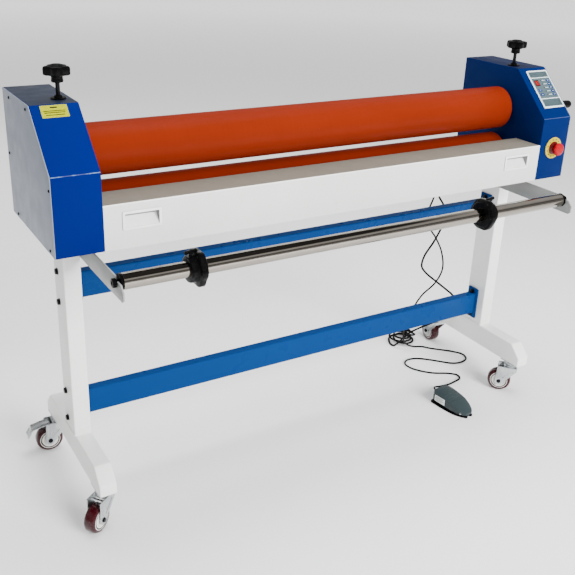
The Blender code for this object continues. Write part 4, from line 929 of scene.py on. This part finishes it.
def housing_shell(name, side):
    low, high = limits(f"{name}_housing")
    outer = max(abs(low.x), abs(high.x))
    shell = extruded(softened(housing_outline(0), 0.003, 5, True), "X", span(side, HOUSING_INNER, outer),
                     0.0012, 3)
    hollow = extruded(softened(housing_outline(SHEET), 0.0012, 3, True), "X",
                      span(side, HOUSING_INNER + SHEET, 0.8), 0)
    wall = span(side, HOUSING_INNER - 0.01, HOUSING_INNER + 0.01)
    slot = extruded(oblong((-0.018, 0.018), (UPPER_AXIS - 0.0335, UPPER_AXIS + 0.03), 0.01), "X", wall, 0)
    hole = drill((side * HOUSING_INNER, 0, LOWER_AXIS), (1, 0, 0), 0.018)
    screw_hole = drill((side * SCREW_X, 0, HOUSING_TOP), (0, 0, 1), 0.0075, sides=32)
    tools = [hollow, slot, hole, screw_hole]
    if side > 0:
        stop_low, stop_high = limits("estop_base")
        stop = ((stop_low.x + stop_high.x) / 2, HOUSING_FRONT, (stop_low.z + stop_high.z) / 2)
        tools.append(drill(stop, (0, 1, 0), 0.009))
    shell = carved(shell, tools)
    # The bend between the front and the desk takes the painted highlight (material 1).
    repainted(shell, 1, lambda spot, normal: abs(spot.y - HOUSING_FRONT) < 0.0012
              and abs(spot.z - DESK_BOTTOM) < 0.0012 and abs(normal.x) < 0.5 and normal.y < -0.5)
    # The top faces take the painted-light copy of the housing paint (material 3).
    repainted(shell, 3, lambda spot, normal: normal.z > 0.9 and spot.z > HOUSING_TOP - 0.001)
    pins = [spun([(0, 0), (0, 0.0036), (0.0006, 0.004), (0.0064, 0.004), (0.0064, 0)],
                 facing((side * (HOUSING_INNER - 0.0055), y, TABLE_PIN_Z), (side, 0, 0)), 24,
                 paint=2) for y in TABLE_PINS]
    piece(f"{name}_housing_shell", merged(shell, *pins), "stand",
          [f"{name}_blue", f"{name}_fold", "steel", f"{name}_top"], [f"{name}_housing"])


def outer_cover(name, side):
    cover = extruded(softened(housing_outline(0), 0.003, 5, True), "X", span(side, COVER_INNER, COVER_OUTER),
                     0.0007)
    if side > 0:
        cover = carved(cover, [drill((COVER_OUTER, 0, LOWER_AXIS), (1, 0, 0), 0.017, 0.02)])
    places = [(HOUSING_BACK - 0.06, HOUSING_TOP - 0.014), (DESK_TOP_Y + 0.02, HOUSING_TOP - 0.012),
              (HOUSING_BACK - 0.016, 0.895), (HOUSING_FRONT + 0.008, DESK_BOTTOM - 0.03),
              (HOUSING_BACK - 0.052, HOUSING_BOTTOM + 0.01), (HOUSING_FRONT + 0.032, HOUSING_BOTTOM + 0.01)]
    heads = [screw((side * COVER_OUTER, y, z), (side, 0, 0), 0.0038, paint=1) for y, z in places]
    piece(f"{name}_cover", merged(cover, *heads), "stand", ["cover", "black_metal"],
          [f"{name}_outer_cover"])


def screw_collar(name, side):
    """The moulded ring that the pressure screw passes through."""
    collar = [(0.0001, 0.0068), (0.0001, 0.0165), (0.0008, 0.0172), (0.0024, 0.0172), (0.0032, 0.0164),
              (0.0036, 0.0098), (0.007, 0.009), (0.0078, 0.0082), (0.0078, 0.0068)]
    piece(f"{name}_screw_collar", spun(collar, facing((side * SCREW_X, 0, HOUSING_TOP)), 64, closed=True),
          "stand", ["black"])


# ---------------------------------------------------------------- panel, label and emergency stop
def desk():
    """The desk's own axes: x across, y up the slope and z out of it."""
    up = Vector((0, DESK_TOP_Y - HOUSING_FRONT, HOUSING_TOP - DESK_BOTTOM)).normalized()
    across = Vector((1, 0, 0))
    out = across.cross(up)
    turn = Matrix((across, up, out)).transposed().to_4x4()
    return Matrix.Translation((0, HOUSING_FRONT, DESK_BOTTOM)) @ turn


def control_panel():
    here = desk()
    left, right, low, high = 0.692, 0.775, 0.036, 0.168
    width, height = right - left, high - low
    top = 0.0033

    def chip(u, v, rise, paint, corner):
        """A printed patch: u and v are shares of the panel's width and of its height from the top."""
        x = (left + u[0] * width, left + u[1] * width)
        y = (high - v[1] * height, high - v[0] * height)
        return extruded(oblong(x, y, corner, 3), "Z", (top - 0.0004, top + rise), 0.00006, 1, paint, here)

    forms = [extruded(oblong((left, right), (low, high), 0.0035), "Z", (0.0003, top), 0.0007, 3, 0, here)]
    patches = [((0.045, 0.955), (0.035, 0.965), 0.00005, 1, 0.002),
               ((0.08, 0.92), (0.055, 0.165), 0.0001, 2, 0.0008)]
    for row in range(2):
        patches.append(((0.16, 0.84 - 0.1 * row), (0.085 + 0.04 * row, 0.097 + 0.04 * row), 0.00013, 1,
                        0.0003))
    patches += [((0.045, 0.955), v, 0.0001, 0, 0.0003) for v in ((0.192, 0.208), (0.75, 0.768))]
    patches.append(((0.08, 0.92), (0.795, 0.945), 0.0001, 2, 0.0008))
    for row in range(4):
        v = (0.815 + 0.028 * row, 0.824 + 0.028 * row)
        patches.append(((0.14, 0.84 - 0.07 * (row % 2)), v, 0.00013, 1, 0.0002))
    patches.append(((0.12, 0.34), (0.26, 0.42), 0.0004, 3, 0.001))
    flat_bars = [((0.012, 0.058), (v, v + 0.01)) for v in (0.285, 0.335, 0.385)]
    tall_bars = [((u, u + 0.012), (v, v + 0.046)) for v in (0.292, 0.342) for u in (0.004, 0.054)]
    for start in (0.15, 0.245):
        patches += [((start + u[0], start + u[1]), v, 0.0005, 4, 0.0001) for u, v in flat_bars + tall_bars]
    for spot in [0.265 + row * 0.095 for row in range(5)]:
        patches += [((0.455, 0.5), (spot, spot + 0.028), 0.00018, 5, 0.0015),
                    ((0.53, 0.68), (spot + 0.007, spot + 0.018), 0.00013, 0, 0.0002),
                    ((0.73, 0.88), (spot - 0.012, spot + 0.05), 0.0006, 6, 0.002),
                    ((0.765, 0.845), (spot + 0.014, spot + 0.022), 0.00065, 0, 0.0002)]
    for spot in (0.5, 0.615):
        patches += [((0.13, 0.3), (spot, spot + 0.062), 0.0006, 6, 0.002),
                    ((0.175, 0.255), (spot + 0.026, spot + 0.034), 0.00065, 0, 0.0002)]
    forms += [chip(*patch) for patch in patches]
    piece("control_panel_overlay", merged(*forms), "stand",
          ["film_white", "film_field", "film_band", "display", "display_digit", "film_dark", "film_key"],
          ["control_panel"])


def notice_label():
    """A plain yellow sticker with bars where words would be."""
    here = desk()
    left, right, low, high = -0.758, -0.698, 0.146, 0.178
    forms = [extruded(oblong((left, right), (low, high), 0.002), "Z", (0.0001, 0.0004), 0.0001, 1, 0, here)]
    middle = (left + right) / 2
    for half, row, thick in ((0.008, 0.1735, 0.0034), (0.024, 0.164, 0.0019), (0.023, 0.1595, 0.0019),
                             (0.021, 0.1535, 0.0019)):
        bar = oblong((middle - half, middle + half), (row - thick, row), 0.0004, 2)
        forms.append(extruded(bar, "Z", (0.0003, 0.00045), 0.00003, 1, 1, here))
    piece("notice_label", merged(*forms), "stand", ["label_yellow", "film_dark"])


def emergency_stop():
    low, high = limits("estop_base")
    x, z = (low.x + high.x) / 2, (low.z + high.z) / 2
    here = facing((x, high.y, z), (0, -1, 0))
    disc = [(0, 0.0083), (0, 0.031), (0.0008, 0.032), (0.0024, 0.032), (0.0031, 0.0312), (0.0031, 0.021),
            (0.0028, 0.02), (0.0028, 0.0083)]
    forms = [spun(disc, here, 96, closed=True)]
    collar = [(0.002, 0.0084), (0.002, 0.0195), (0.0042, 0.0195), (0.005, 0.0185), (0.006, 0.0178),
              (0.0066, 0.0168), (0.0078, 0.0172), (0.0088, 0.0162), (0.01, 0.0166), (0.0113, 0.0158),
              (0.012, 0.015), (0.012, 0.0084)]
    forms.append(spun(collar, here, 72, closed=True, paint=1))
    for index in range(12):
        angle = math.tau * (index + 0.5) / 12
        mark = oblong((-0.0022, 0.0022), (0.0238, 0.0268), 0.0005, 2)
        forms.append(extruded(mark, "Z", (0.0029, 0.00325), 0.00005, 1, 2,
                              here @ Matrix.Rotation(angle, 4, "Z")))
    piece("estop_plate", merged(*forms), "stand", ["yellow", "dark_red", "film_dark"],
          ["estop_base"])

    head_low, head_high = limits("estop_head")
    here = facing((x, head_high.y, z), (0, -1, 0))
    length = head_high.y - head_low.y
    grip = lobes(24, 0.035)
    cap = length - 0.0145
    head = [(0, 0), (0, 0.0078), (0.0004, 0.008), (cap, 0.008), (cap + 0.0004, 0.015),
            (cap + 0.0012, 0.0168, grip), (cap + 0.003, 0.0187, grip), (cap + 0.006, 0.019, grip),
            (cap + 0.009, 0.0184, grip), (cap + 0.0115, 0.0165), (cap + 0.0132, 0.013), (cap + 0.0141, 0.008),
            (length, 0)]
    piece("estop_mushroom", spun(head, here, 144), "estop_head", ["red"], ["estop_head"])


# ---------------------------------------------------------------- rollers
def rollers():
    for name, height, body in (("upper", UPPER_AXIS, "upper_roller"), ("lower", LOWER_AXIS, "lower_roller")):
        low, high = limits(f"{name}_roller_sleeve")
        centre = facing((0, 0, height), (1, 0, 0))
        inner = 0.0403
        profile = [(low.x, inner), (low.x, ROLLER_RADIUS), (high.x, ROLLER_RADIUS), (high.x, inner)]
        profile = [(low.x, inner)] + softened(profile, 0.0016, 4)[1:-1] + [(high.x, inner)]
        piece(f"{name}_roller_rubber", spun(profile, centre, 160, closed=True), body,
              ["silicone"], [f"{name}_roller_sleeve"])
        core_low, core_high = limits(f"{name}_roller_core")
        journal = 0.0148
        half = [(core_low.x, 0.003), (core_low.x, journal), (low.x - 0.0005, journal),
                (low.x - 0.0005, 0.022), (low.x, 0.04), (high.x, 0.04), (high.x + 0.0005, 0.022),
                (high.x + 0.0005, journal)]
        if core_high.x > 0.75:
            half += [(0.7125, journal), (0.7125, 0.0119)]
        half += [(core_high.x, half[-1][1]), (core_high.x, 0.003)]
        profile = softened(half, 0.0008, 2)
        piece(f"{name}_roller_shaft", spun(profile, centre, 64, closed=True), body, ["steel"],
              [f"{name}_roller_core"])


def pressure_knob(name, side):
    low, high = limits(f"{name}_pressure_knob")
    here = facing((side * SCREW_X, 0, 0))
    top = high.z
    star = lobes(5, 0.23)
    shallow = lobes(5, 0.16)
    knob = [(1.088, 0), (1.088, 0.0118), (1.0888, 0.0132), (1.0905, 0.0138), (1.094, 0.0134), (1.099, 0.0128),
            (1.102, 0.014), (1.1034, 0.0215, shallow), (1.1042, 0.0275, star), (1.1056, 0.0302, star),
            (1.1075, 0.031, star), (1.119, 0.031, star), (1.1216, 0.0303, star), (1.1232, 0.0284, star),
            (1.1239, 0.025, star), (1.1243, 0.02, shallow), (1.1252, 0.0165), (top, 0.013), (top, 0.0095),
            (top - 0.001, 0.0088), (top - 0.0012, 0)]
    forms = [spun(knob, here, 160)]
    stem = [(low.z, 0), (low.z, 0.0046), (low.z + 0.0012, 0.0054)]
    thread_top = 1.036
    stem += [(thread_top, 0.0054), (thread_top + 0.003, 0.005), (1.085, 0.005), (1.0885, 0.0062), (1.0885, 0)]
    forms.append(spun(stem, here, 32, paint=1))
    turns, per_turn = 16, 20
    pitch = 0.0045
    middle_radius = 0.0052
    thread = []
    for index in range(turns * per_turn):
        angle = math.tau * index / per_turn
        thread.append((side * SCREW_X + middle_radius * math.cos(angle), middle_radius * math.sin(angle),
                       low.z + 0.003 + pitch * index / per_turn))
    forms.append(swept(thread, 0.0006, 6, paint=1))
    piece(f"{name}_knob_and_screw", merged(*forms), f"{name}_knob", ["black", "black_metal"],
          [f"{name}_pressure_knob"])


# ---------------------------------------------------------------- feed table and pulls
PULL_X = 0.58
PULL_Z = 0.807


def pull_pocket(side, grow, front, back):
    outline = oblong((side * PULL_X - 0.044 - grow, side * PULL_X + 0.044 + grow),
                     (PULL_Z - 0.019 - grow, PULL_Z + 0.019 + grow), 0.003)
    return extruded(outline, "Y", (front, back), 0)


def feed_table():
    low, high = limits("feed_table")
    front, back, bottom, top = low.y, high.y, low.z, high.z
    lip = 0.024
    outline = [(front, bottom), (front + 0.045, bottom), (front + 0.045, bottom + SHEET),
               (front + SHEET, bottom + SHEET), (front + SHEET, top - SHEET), (back - SHEET, top - SHEET),
               (back - SHEET, top - lip), (back, top - lip), (back, top), (front, top)]
    table = extruded(softened(outline, 0.0022, 4, True), "X", (low.x, high.x), 0.0004)
    side_view = softened([(front, bottom), (back, bottom), (back, top), (front, top)], 0.0022, 4, True)
    ends = [extruded(side_view, "X", span(side, high.x - SHEET, high.x), 0.0004) for side in SIDES.values()]
    table = carved(table, ends, "UNION")
    cutters = [pull_pocket(side, 0.0003, front - 0.01, front + 0.01) for side in SIDES.values()]
    for side in SIDES.values():
        for y in TABLE_PINS:
            slot = [(y - 0.0043, bottom - 0.01), (y + 0.0043, bottom - 0.01)] + arc((y, TABLE_PIN_Z), 0.0043,
                                                                                    0, 180, 10)
            cutters.append(extruded(slot, "X", span(side, HOUSING_INNER - 0.0065, HOUSING_INNER), 0))
    table = carved(table, cutters)
    # The flat top takes the darker copy of the table paint: painted shade (material 1).
    repainted(table, 1, lambda spot, normal: normal.z > 0.97 and spot.z > top - 0.001
              and spot.y > front + 0.0035)
    # The rounded front edge takes the brighter copy: painted highlight (material 2).
    repainted(table, 2, lambda spot, normal: spot.z > top - 0.003 and spot.y < front + 0.0036
              and normal.x ** 2 < 0.2 and normal.z > 0.1)
    piece("feed_table_sheet", table, "feed_table", ["table", "table_top", "table_fold"],
          ["feed_table"])
    for name, side in SIDES.items():
        table_pull(name, side, front)


def table_pull(name, side, front):
    """A flush pull: a raised frame and a scooped floor, with painted shade on the recess walls under its
    upper edge and on the frame's sides.
    """
    low, high = limits(f"{name}_table_pull")
    flange = extruded(oblong((low.x, high.x), (low.z, high.z), 0.004), "Y", (low.y, front - 0.0003), 0.0011,
                      3)
    cup = pull_pocket(side, 0, front - 0.001, high.y)
    pull = carved(flange, [cup], "UNION")
    x = (side * PULL_X - 0.041, side * PULL_X + 0.041)
    scoop = [(low.y - 0.01, PULL_Z - 0.016), (low.y - 0.01, PULL_Z + 0.016),
             (high.y - 0.0025, PULL_Z + 0.016), (high.y - 0.0025, PULL_Z + 0.006),
             (low.y + 0.0008, PULL_Z - 0.016)]
    pull = carved(pull, [extruded(softened(scoop, 0.002, 4, True), "X", x, 0.0015)])
    # The frame's sides and the recess walls take painted shade (materials 2 and 1).
    repainted(pull, 2, lambda spot, normal: normal.y > -0.5 and spot.y < front)
    repainted(pull, 1, lambda spot, normal: low.y + 0.0008 < spot.y < high.y - 0.0015 and normal.z < 0.3
              and abs(spot.x - side * PULL_X) < 0.0413 and abs(spot.z - PULL_Z) < 0.0163)
    piece(f"{name}_pull_cup", pull, "feed_table", ["pull", "pull_scoop_painted_shade", "pull_side_painted_shade"],
          [f"{name}_table_pull"])


# ---------------------------------------------------------------- drive
def hand_crank():
    high = limits("crank_arm")[1]
    grip_low, grip_high = limits("crank_grip")
    y, z = (grip_low.y + grip_high.y) / 2, (grip_low.z + grip_high.z) / 2
    heading = math.degrees(math.atan2(z - LOWER_AXIS, y))
    arm_x = 0.7995
    outline = arc((0, LOWER_AXIS), 0.015, heading + 90, heading + 270, 20)
    outline += arc((y, z), 0.01, heading - 90, heading + 90, 16)
    forms = [extruded(outline, "X", (arm_x, arm_x + 0.008), 0.001, 3)]
    hub = softened([(0.7865, 0.0123), (0.7865, 0.0155), (arm_x + 0.009, 0.0155), (arm_x + 0.009, 0.004)],
                   0.001)
    hub += [(0.8018, 0.004), (0.8018, 0.0123)]
    forms.append(spun(hub, facing((0, 0, LOWER_AXIS), (1, 0, 0)), 48, closed=True))
    forms.append(screw((arm_x + 0.009, 0, LOWER_AXIS), (1, 0, 0), 0.006, paint=1))
    forms.append(spun([(0.803, 0), (0.803, 0.004), (high.x, 0.004), (high.x, 0)],
                      facing((0, y, z), (1, 0, 0)), 24))
    piece("crank_lever", merged(*forms), "lower_roller", ["zinc", "black_metal"], ["crank_arm"])
    start, end = grip_low.x, grip_high.x
    profile = [(start, 0.0043), (start, 0.0095), (start + 0.001, 0.0104), (start + 0.0035, 0.0106),
               (start + 0.0042, 0.01), (start + 0.005, 0.0108), (start + 0.02, 0.0119),
               (start + 0.04, 0.0125), (end - 0.016, 0.0124), (end - 0.007, 0.0117), (end - 0.003, 0.01),
               (end - 0.0008, 0.007), (end, 0), (high.x + 0.0003, 0), (high.x + 0.0003, 0.0043)]
    ridge = lobes(18, 0.05)
    shaped = [(place, radius, ridge) if start + 0.006 < place < end - 0.01 else (place, radius) for place,
              radius in profile]
    piece("crank_handle", spun(shaped, facing((0, y, z), (1, 0, 0)), 108, closed=True), "crank_grip",
          ["black"], ["crank_grip"])


def inner_works():
    """The drive and the side frames keep their CAD shapes and get their finishes."""
    finishes = {
        "left_frame_plate": "dark_steel", "right_frame_plate": "dark_steel", "left_flange_bearing": "steel",
        "right_flange_bearing": "steel", "left_bearing_block": "steel", "right_bearing_block": "steel",
        "gearmotor": "enamel", "motor_sprocket": "dark_steel", "roller_sprocket": "dark_steel",
        "drive_chain": "dark_steel",
    }
    for node, key in finishes.items():
        mesh = frame["nodes"][node].data
        mesh.materials.clear()
        mesh.materials.append(M[key].material)


# ---------------------------------------------------------------- supply shaft
def supply_shaft():
    low, high = limits("supply_shaft")
    y, z = (low.y + high.y) / 2, (low.z + high.z) / 2
    centre = facing((0, y, z), (1, 0, 0))
    end = high.x
    tube_end = end - 0.0225
    tube = softened([(-tube_end, 0.0165), (-tube_end, 0.019), (tube_end, 0.019), (tube_end, 0.0165)], 0.0007)
    forms = [spun(tube, centre, 96, closed=True)]
    for side in SIDES.values():
        here = facing((0, y, z), (side, 0, 0))
        plug = [(0.6675, 0), (0.6675, 0.0164), (0.6727, 0.0164), (0.6727, 0.0192), (0.6733, 0.0195),
                (0.6757, 0.0195), (0.6765, 0.0188), (0.6765, 0.011), (0.6767, 0.006), (0.6835, 0.006),
                (0.684, 0.0105), (0.6846, 0.011), (end - 0.0016, 0.011), (end - 0.0004, 0.01), (end, 0.0085),
                (end, 0.0045, hexagon), (end - 0.003, 0.0045, hexagon), (end - 0.003, 0)]
        forms.append(spun(plug, here, 72, paint=1))
    piece("supply_tube", merged(*forms), "supply_shaft", ["chrome", "black"], ["supply_shaft"])
    for name, side in SIDES.items():
        core_stopper(name, side, y, z)


def core_stopper(name, side, y, z):
    low, high = limits(f"{name}_core_stopper")
    middle = (low.x if side > 0 else high.x) + side * 0.016
    here = facing((middle, y, z), (side, 0, 0))
    rim = lobes(6, 0.1 if side < 0 else 0.05)
    soft_rim = lobes(6, 0.07 if side < 0 else 0.03)
    disc = [(-0.016, 0.0194), (-0.016, 0.034), (-0.0145, 0.0358), (-0.0125, 0.0362),
            (-0.012, 0.0415, soft_rim), (-0.0112, 0.0442, rim), (-0.0095, 0.045, rim), (0.001, 0.045, rim),
            (0.003, 0.0442, rim), (0.0038, 0.0415, soft_rim), (0.0042, 0.0362), (0.006, 0.0332),
            (0.0075, 0.0322), (0.012, 0.0316, soft_rim), (0.015, 0.0322, soft_rim),
            (0.0195, 0.0318, soft_rim), (0.0212, 0.03), (0.022, 0.0285), (0.022, 0.0194)]
    forms = [spun(disc, here, 144, closed=True)]
    for index in range(6):
        angle = math.tau * index / 6
        spot = here @ Vector((0.0375 * math.cos(angle), 0.0375 * math.sin(angle), -0.0124))
        forms.append(screw(spot, (-side, 0, 0), 0.0028, paint=1))
    top = Vector((middle + side * 0.013, y, z))
    stem = [(0.024, 0), (0.024, 0.0042), (0.0365, 0.0042), (0.037, 0.0062), (0.038, 0.007), (0.04, 0.007),
            (0.041, 0.0062), (0.0414, 0)]
    forms.append(spun(stem, facing(top), 36))
    bar = [(-0.0175, 0), (-0.017, 0.003), (-0.015, 0.0046), (-0.012, 0.0048), (-0.009, 0.004), (0, 0.0046),
           (0.009, 0.004), (0.012, 0.0048), (0.015, 0.0046), (0.017, 0.003), (0.0175, 0)]
    forms.append(spun(bar, facing(top + Vector((0, 0, 0.0412)), (1, 0.25, 0)), 32))
    piece(f"{name}_stopper_disc", merged(*forms), f"{name}_stopper",
          ["black", "black_metal"], [f"{name}_core_stopper"])


# ---------------------------------------------------------------- foot switch
def boat(inset):
    """Plan of the pedal: cut corners at the heel, then sides that close in to a blunt toe."""
    half = 0.034 - inset
    heel, toe = -0.0655 + inset, 0.067 - inset
    side = [(heel, half - 0.01), (heel + 0.011, half), (-0.005, half), (0.02, half - 0.0015),
            (0.042, half - 0.006), (0.057, half - 0.012), (toe, half - 0.021)]
    return [(u, -v) for u, v in side] + [(u, v) for u, v in reversed(side)]


def pedal_top(u):
    """Height of the pedal's top at a place along it."""
    return 0.0435 - 0.0052 * max(0.0, (u + 0.035) / 0.035) - 0.013 * max(0.0, (u - 0.012) / 0.055) ** 1.3


def pedal_cover():
    steps = 14
    line = [(-0.067 + 0.134 * index / steps) for index in range(steps + 1)]
    side_view = [(-0.067, 0.015), (0.045, 0.0086), (0.067, 0.0082)]
    side_view += [(u, pedal_top(u)) for u in reversed(line)]
    wedge = extruded(side_view, "Y", (-0.05, 0.05), 0)
    wedge = carved(wedge, [extruded(softened(boat(0), 0.004, 4, True), "Z", (-0.01, 0.08), 0)], "INTERSECT")
    inner_view = [(-0.0645, -0.004), (0.0645, -0.004)]
    inner_view += [(u * 0.96, pedal_top(u) - 0.0035) for u in reversed(line)]
    hollow = extruded(inner_view, "Y", (-0.05, 0.05), 0)
    hollow = carved(hollow, [extruded(softened(boat(0.0025), 0.003, 4, True), "Z", (-0.02, 0.09), 0)],
                    "INTERSECT")
    cover = broken_edges(wedge, 0.0014, 40)
    cover = carved(cover, [hollow])
    moved(cover, SWITCH_PLACE)
    forms = [cover]
    for index in range(7):
        u = -0.05 + index * 0.011
        half = 0.024 if index else 0.02
        path = [SWITCH_PLACE @ Vector((u, v, pedal_top(u) + 0.0001)) for v in (-half, half)]
        forms.append(swept(path, 0.0008, 8))
    plate = oblong((-0.05, -0.008), (0.0145, 0.035), 0.0015, 3)
    forms.append(extruded(plate, "Y", (-0.0343, -0.0338), 0.0001, 1, 1, SWITCH_PLACE))
    for row in range(4):
        bar = oblong((-0.047, -0.013 - 0.006 * (row % 2)), (0.0305 - 0.004 * row, 0.0318 - 0.004 * row),
                     0.0004, 2)
        forms.append(extruded(bar, "Y", (-0.03445, -0.0342), 0.00003, 1, 2, SWITCH_PLACE))
    piece("foot_pedal_cover", merged(*forms), "foot_pedal",
          ["pedal", "label_white", "film_dark"], ["foot_switch_pedal"])


def switch_base():
    outline = [(-0.069, -0.03), (-0.069, 0.03), (-0.062, 0.036), (0.0, 0.036), (0.03, 0.033), (0.052, 0.025),
               (0.069, 0.015), (0.069, 0.006), (0.063, 0.004), (0.063, -0.004), (0.069, -0.006),
               (0.069, -0.015), (0.052, -0.025), (0.03, -0.033), (0.0, -0.036), (-0.062, -0.036)]
    forms = [extruded(softened(outline, 0.003, 3, True), "Z", (0.0, 0.0055), 0.0012, 3, matrix=SWITCH_PLACE)]
    forms.append(block((-0.03, 0.025), (-0.022, 0.022), (0.005, 0.02), 0.001, SWITCH_PLACE))
    forms.append(block((-0.069, -0.0675), (-0.02, 0.025), (0.005, 0.024), 0.0005, SWITCH_PLACE))
    gland = [(0, 0), (0, 0.0055), (0.0015, 0.0058), (0.004, 0.0058), (0.0045, 0.005), (0.006, 0.005),
             (0.0065, 0.0046), (0.0085, 0.0044), (0.009, 0.004), (0.013, 0.0036), (0.013, 0)]
    heel = SWITCH_PLACE @ Vector((-0.068, 0.02, 0.014))
    backward = SWITCH_PLACE.to_3x3() @ Vector((-1, 0, 0))
    forms.append(spun(gland, facing(heel, backward), 36))
    for side in (-1, 1):
        spot = SWITCH_PLACE @ Vector((-0.055, side * 0.0332, 0.0052))
        forms.append(screw(spot, (0, 0, 1), 0.0022, paint=1))
    pin_profile = [(-0.0262, 0), (-0.0262, 0.0022), (-0.0256, 0.0028), (0.0256, 0.0028), (0.0262, 0.0022),
                   (0.0262, 0)]
    hinge = SWITCH_PLACE @ facing((0.052, 0, 0.012), (0, 1, 0))
    forms.append(spun(pin_profile, hinge, 24, paint=2))
    piece("foot_switch_plate", merged(*forms), "stand", ["black", "black_metal", "zinc"],
          ["foot_switch_base"])


# ---------------------------------------------------------------- floor and light
def studio_floor():
    form = bmesh.new()
    bmesh.ops.create_grid(form, x_segments=8, y_segments=8, size=40.0)
    mesh = as_mesh(form, "studio_floor")
    mesh.materials.append(M["floor"].material)
    floor = in_scene("studio_floor", mesh)


def studio_lights():
    lights = [
        ("key", (0.9, -4.2, 2.4), (0.0, 0.0, 0.6), 2.4, 520.0),
        ("fill", (-4.0, -1.5, 2.2), (-0.4, 0.0, 0.6), 2.2, 10.0),
        ("top", (0.2, 0.3, 4.2), (0.0, 0.0, 0.5), 3.0, 240.0),
        ("back", (-1.5, 3.6, 2.6), (0.0, 0.0, 0.6), 2.4, 60.0),
    ]
    for name, place, target, width, power in lights:
        data = bpy.data.lights.new(name, "AREA")
        data.shape = "SQUARE"
        data.size = width
        data.energy = power
        lamp = in_scene(name, data)
        lamp.location = place
        lamp.visible_glossy = False
        lamp.rotation_euler = (Vector(target) - Vector(place)).to_track_quat("-Z", "Y").to_euler()


def studio_world():
    """Bands of light and dark by height, which the bright metal shows."""
    world = bpy.data.worlds.new("studio")
    world.use_nodes = True
    tree = world.node_tree
    upward = added(tree, "SeparateXYZ", Vector=added(tree, "TexCoord").outputs["Generated"]).outputs["Z"]
    ramp = added(tree, "ValToRGB", Fac=added(tree, "MapRange", Value=upward, From_Min=-1.0).outputs["Result"])
    elements = ramp.color_ramp.elements
    elements[0].color = (0.2, 0.2, 0.2, 1.0)
    elements[1].color = (0.08, 0.08, 0.08, 1.0)
    for place, value in ((0.49, 0.35), (0.6, 0.42), (0.68, 0.1), (0.76, 0.9), (0.83, 0.9), (0.88, 0.05)):
        elements.new(place).color = (value, value, value, 1.0)
    tree.links.new(ramp.outputs["Color"], tree.nodes["Background"].inputs["Color"])
    bpy.context.scene.world = world


# ---------------------------------------------------------------- build
plug = power_plug()
cord_glands()
make_cord("pedal_lead", PEDAL_ROUTE, PEDAL_CORD_RADIUS,
          ["pedal_cord"])
power_path = POWER_ROUTE + coil_turns()
power_path += [(0.625, 0.257, 0.0254), (0.633, 0.2485, 0.0254), (0.644, 0.25, 0.0245), (0.652, 0.26, 0.0205),
               (PLUG_X, PLUG_START_Y, PLUG_Z)]
make_cord("power_lead", power_path, POWER_CORD_RADIUS,
          ["power_cord", "power_cord_coil"])
for side_name, side_sign in SIDES.items():
    stand_posts(side_name, side_sign)
    foot_beam(side_name)
    shaft_arm(side_name, side_sign)
    housing_shell(side_name, side_sign)
    outer_cover(side_name, side_sign)
    screw_collar(side_name, side_sign)
    pressure_knob(side_name, side_sign)
for beam_name in ("upper", "lower"):
    cross_beam(beam_name)
for corner_name in CASTER_TURNS:
    caster(corner_name)
control_panel()
notice_label()
emergency_stop()
rollers()
feed_table()
hand_crank()
inner_works()
supply_shaft()
pedal_cover()
switch_base()
studio_floor()
studio_lights()
studio_world()
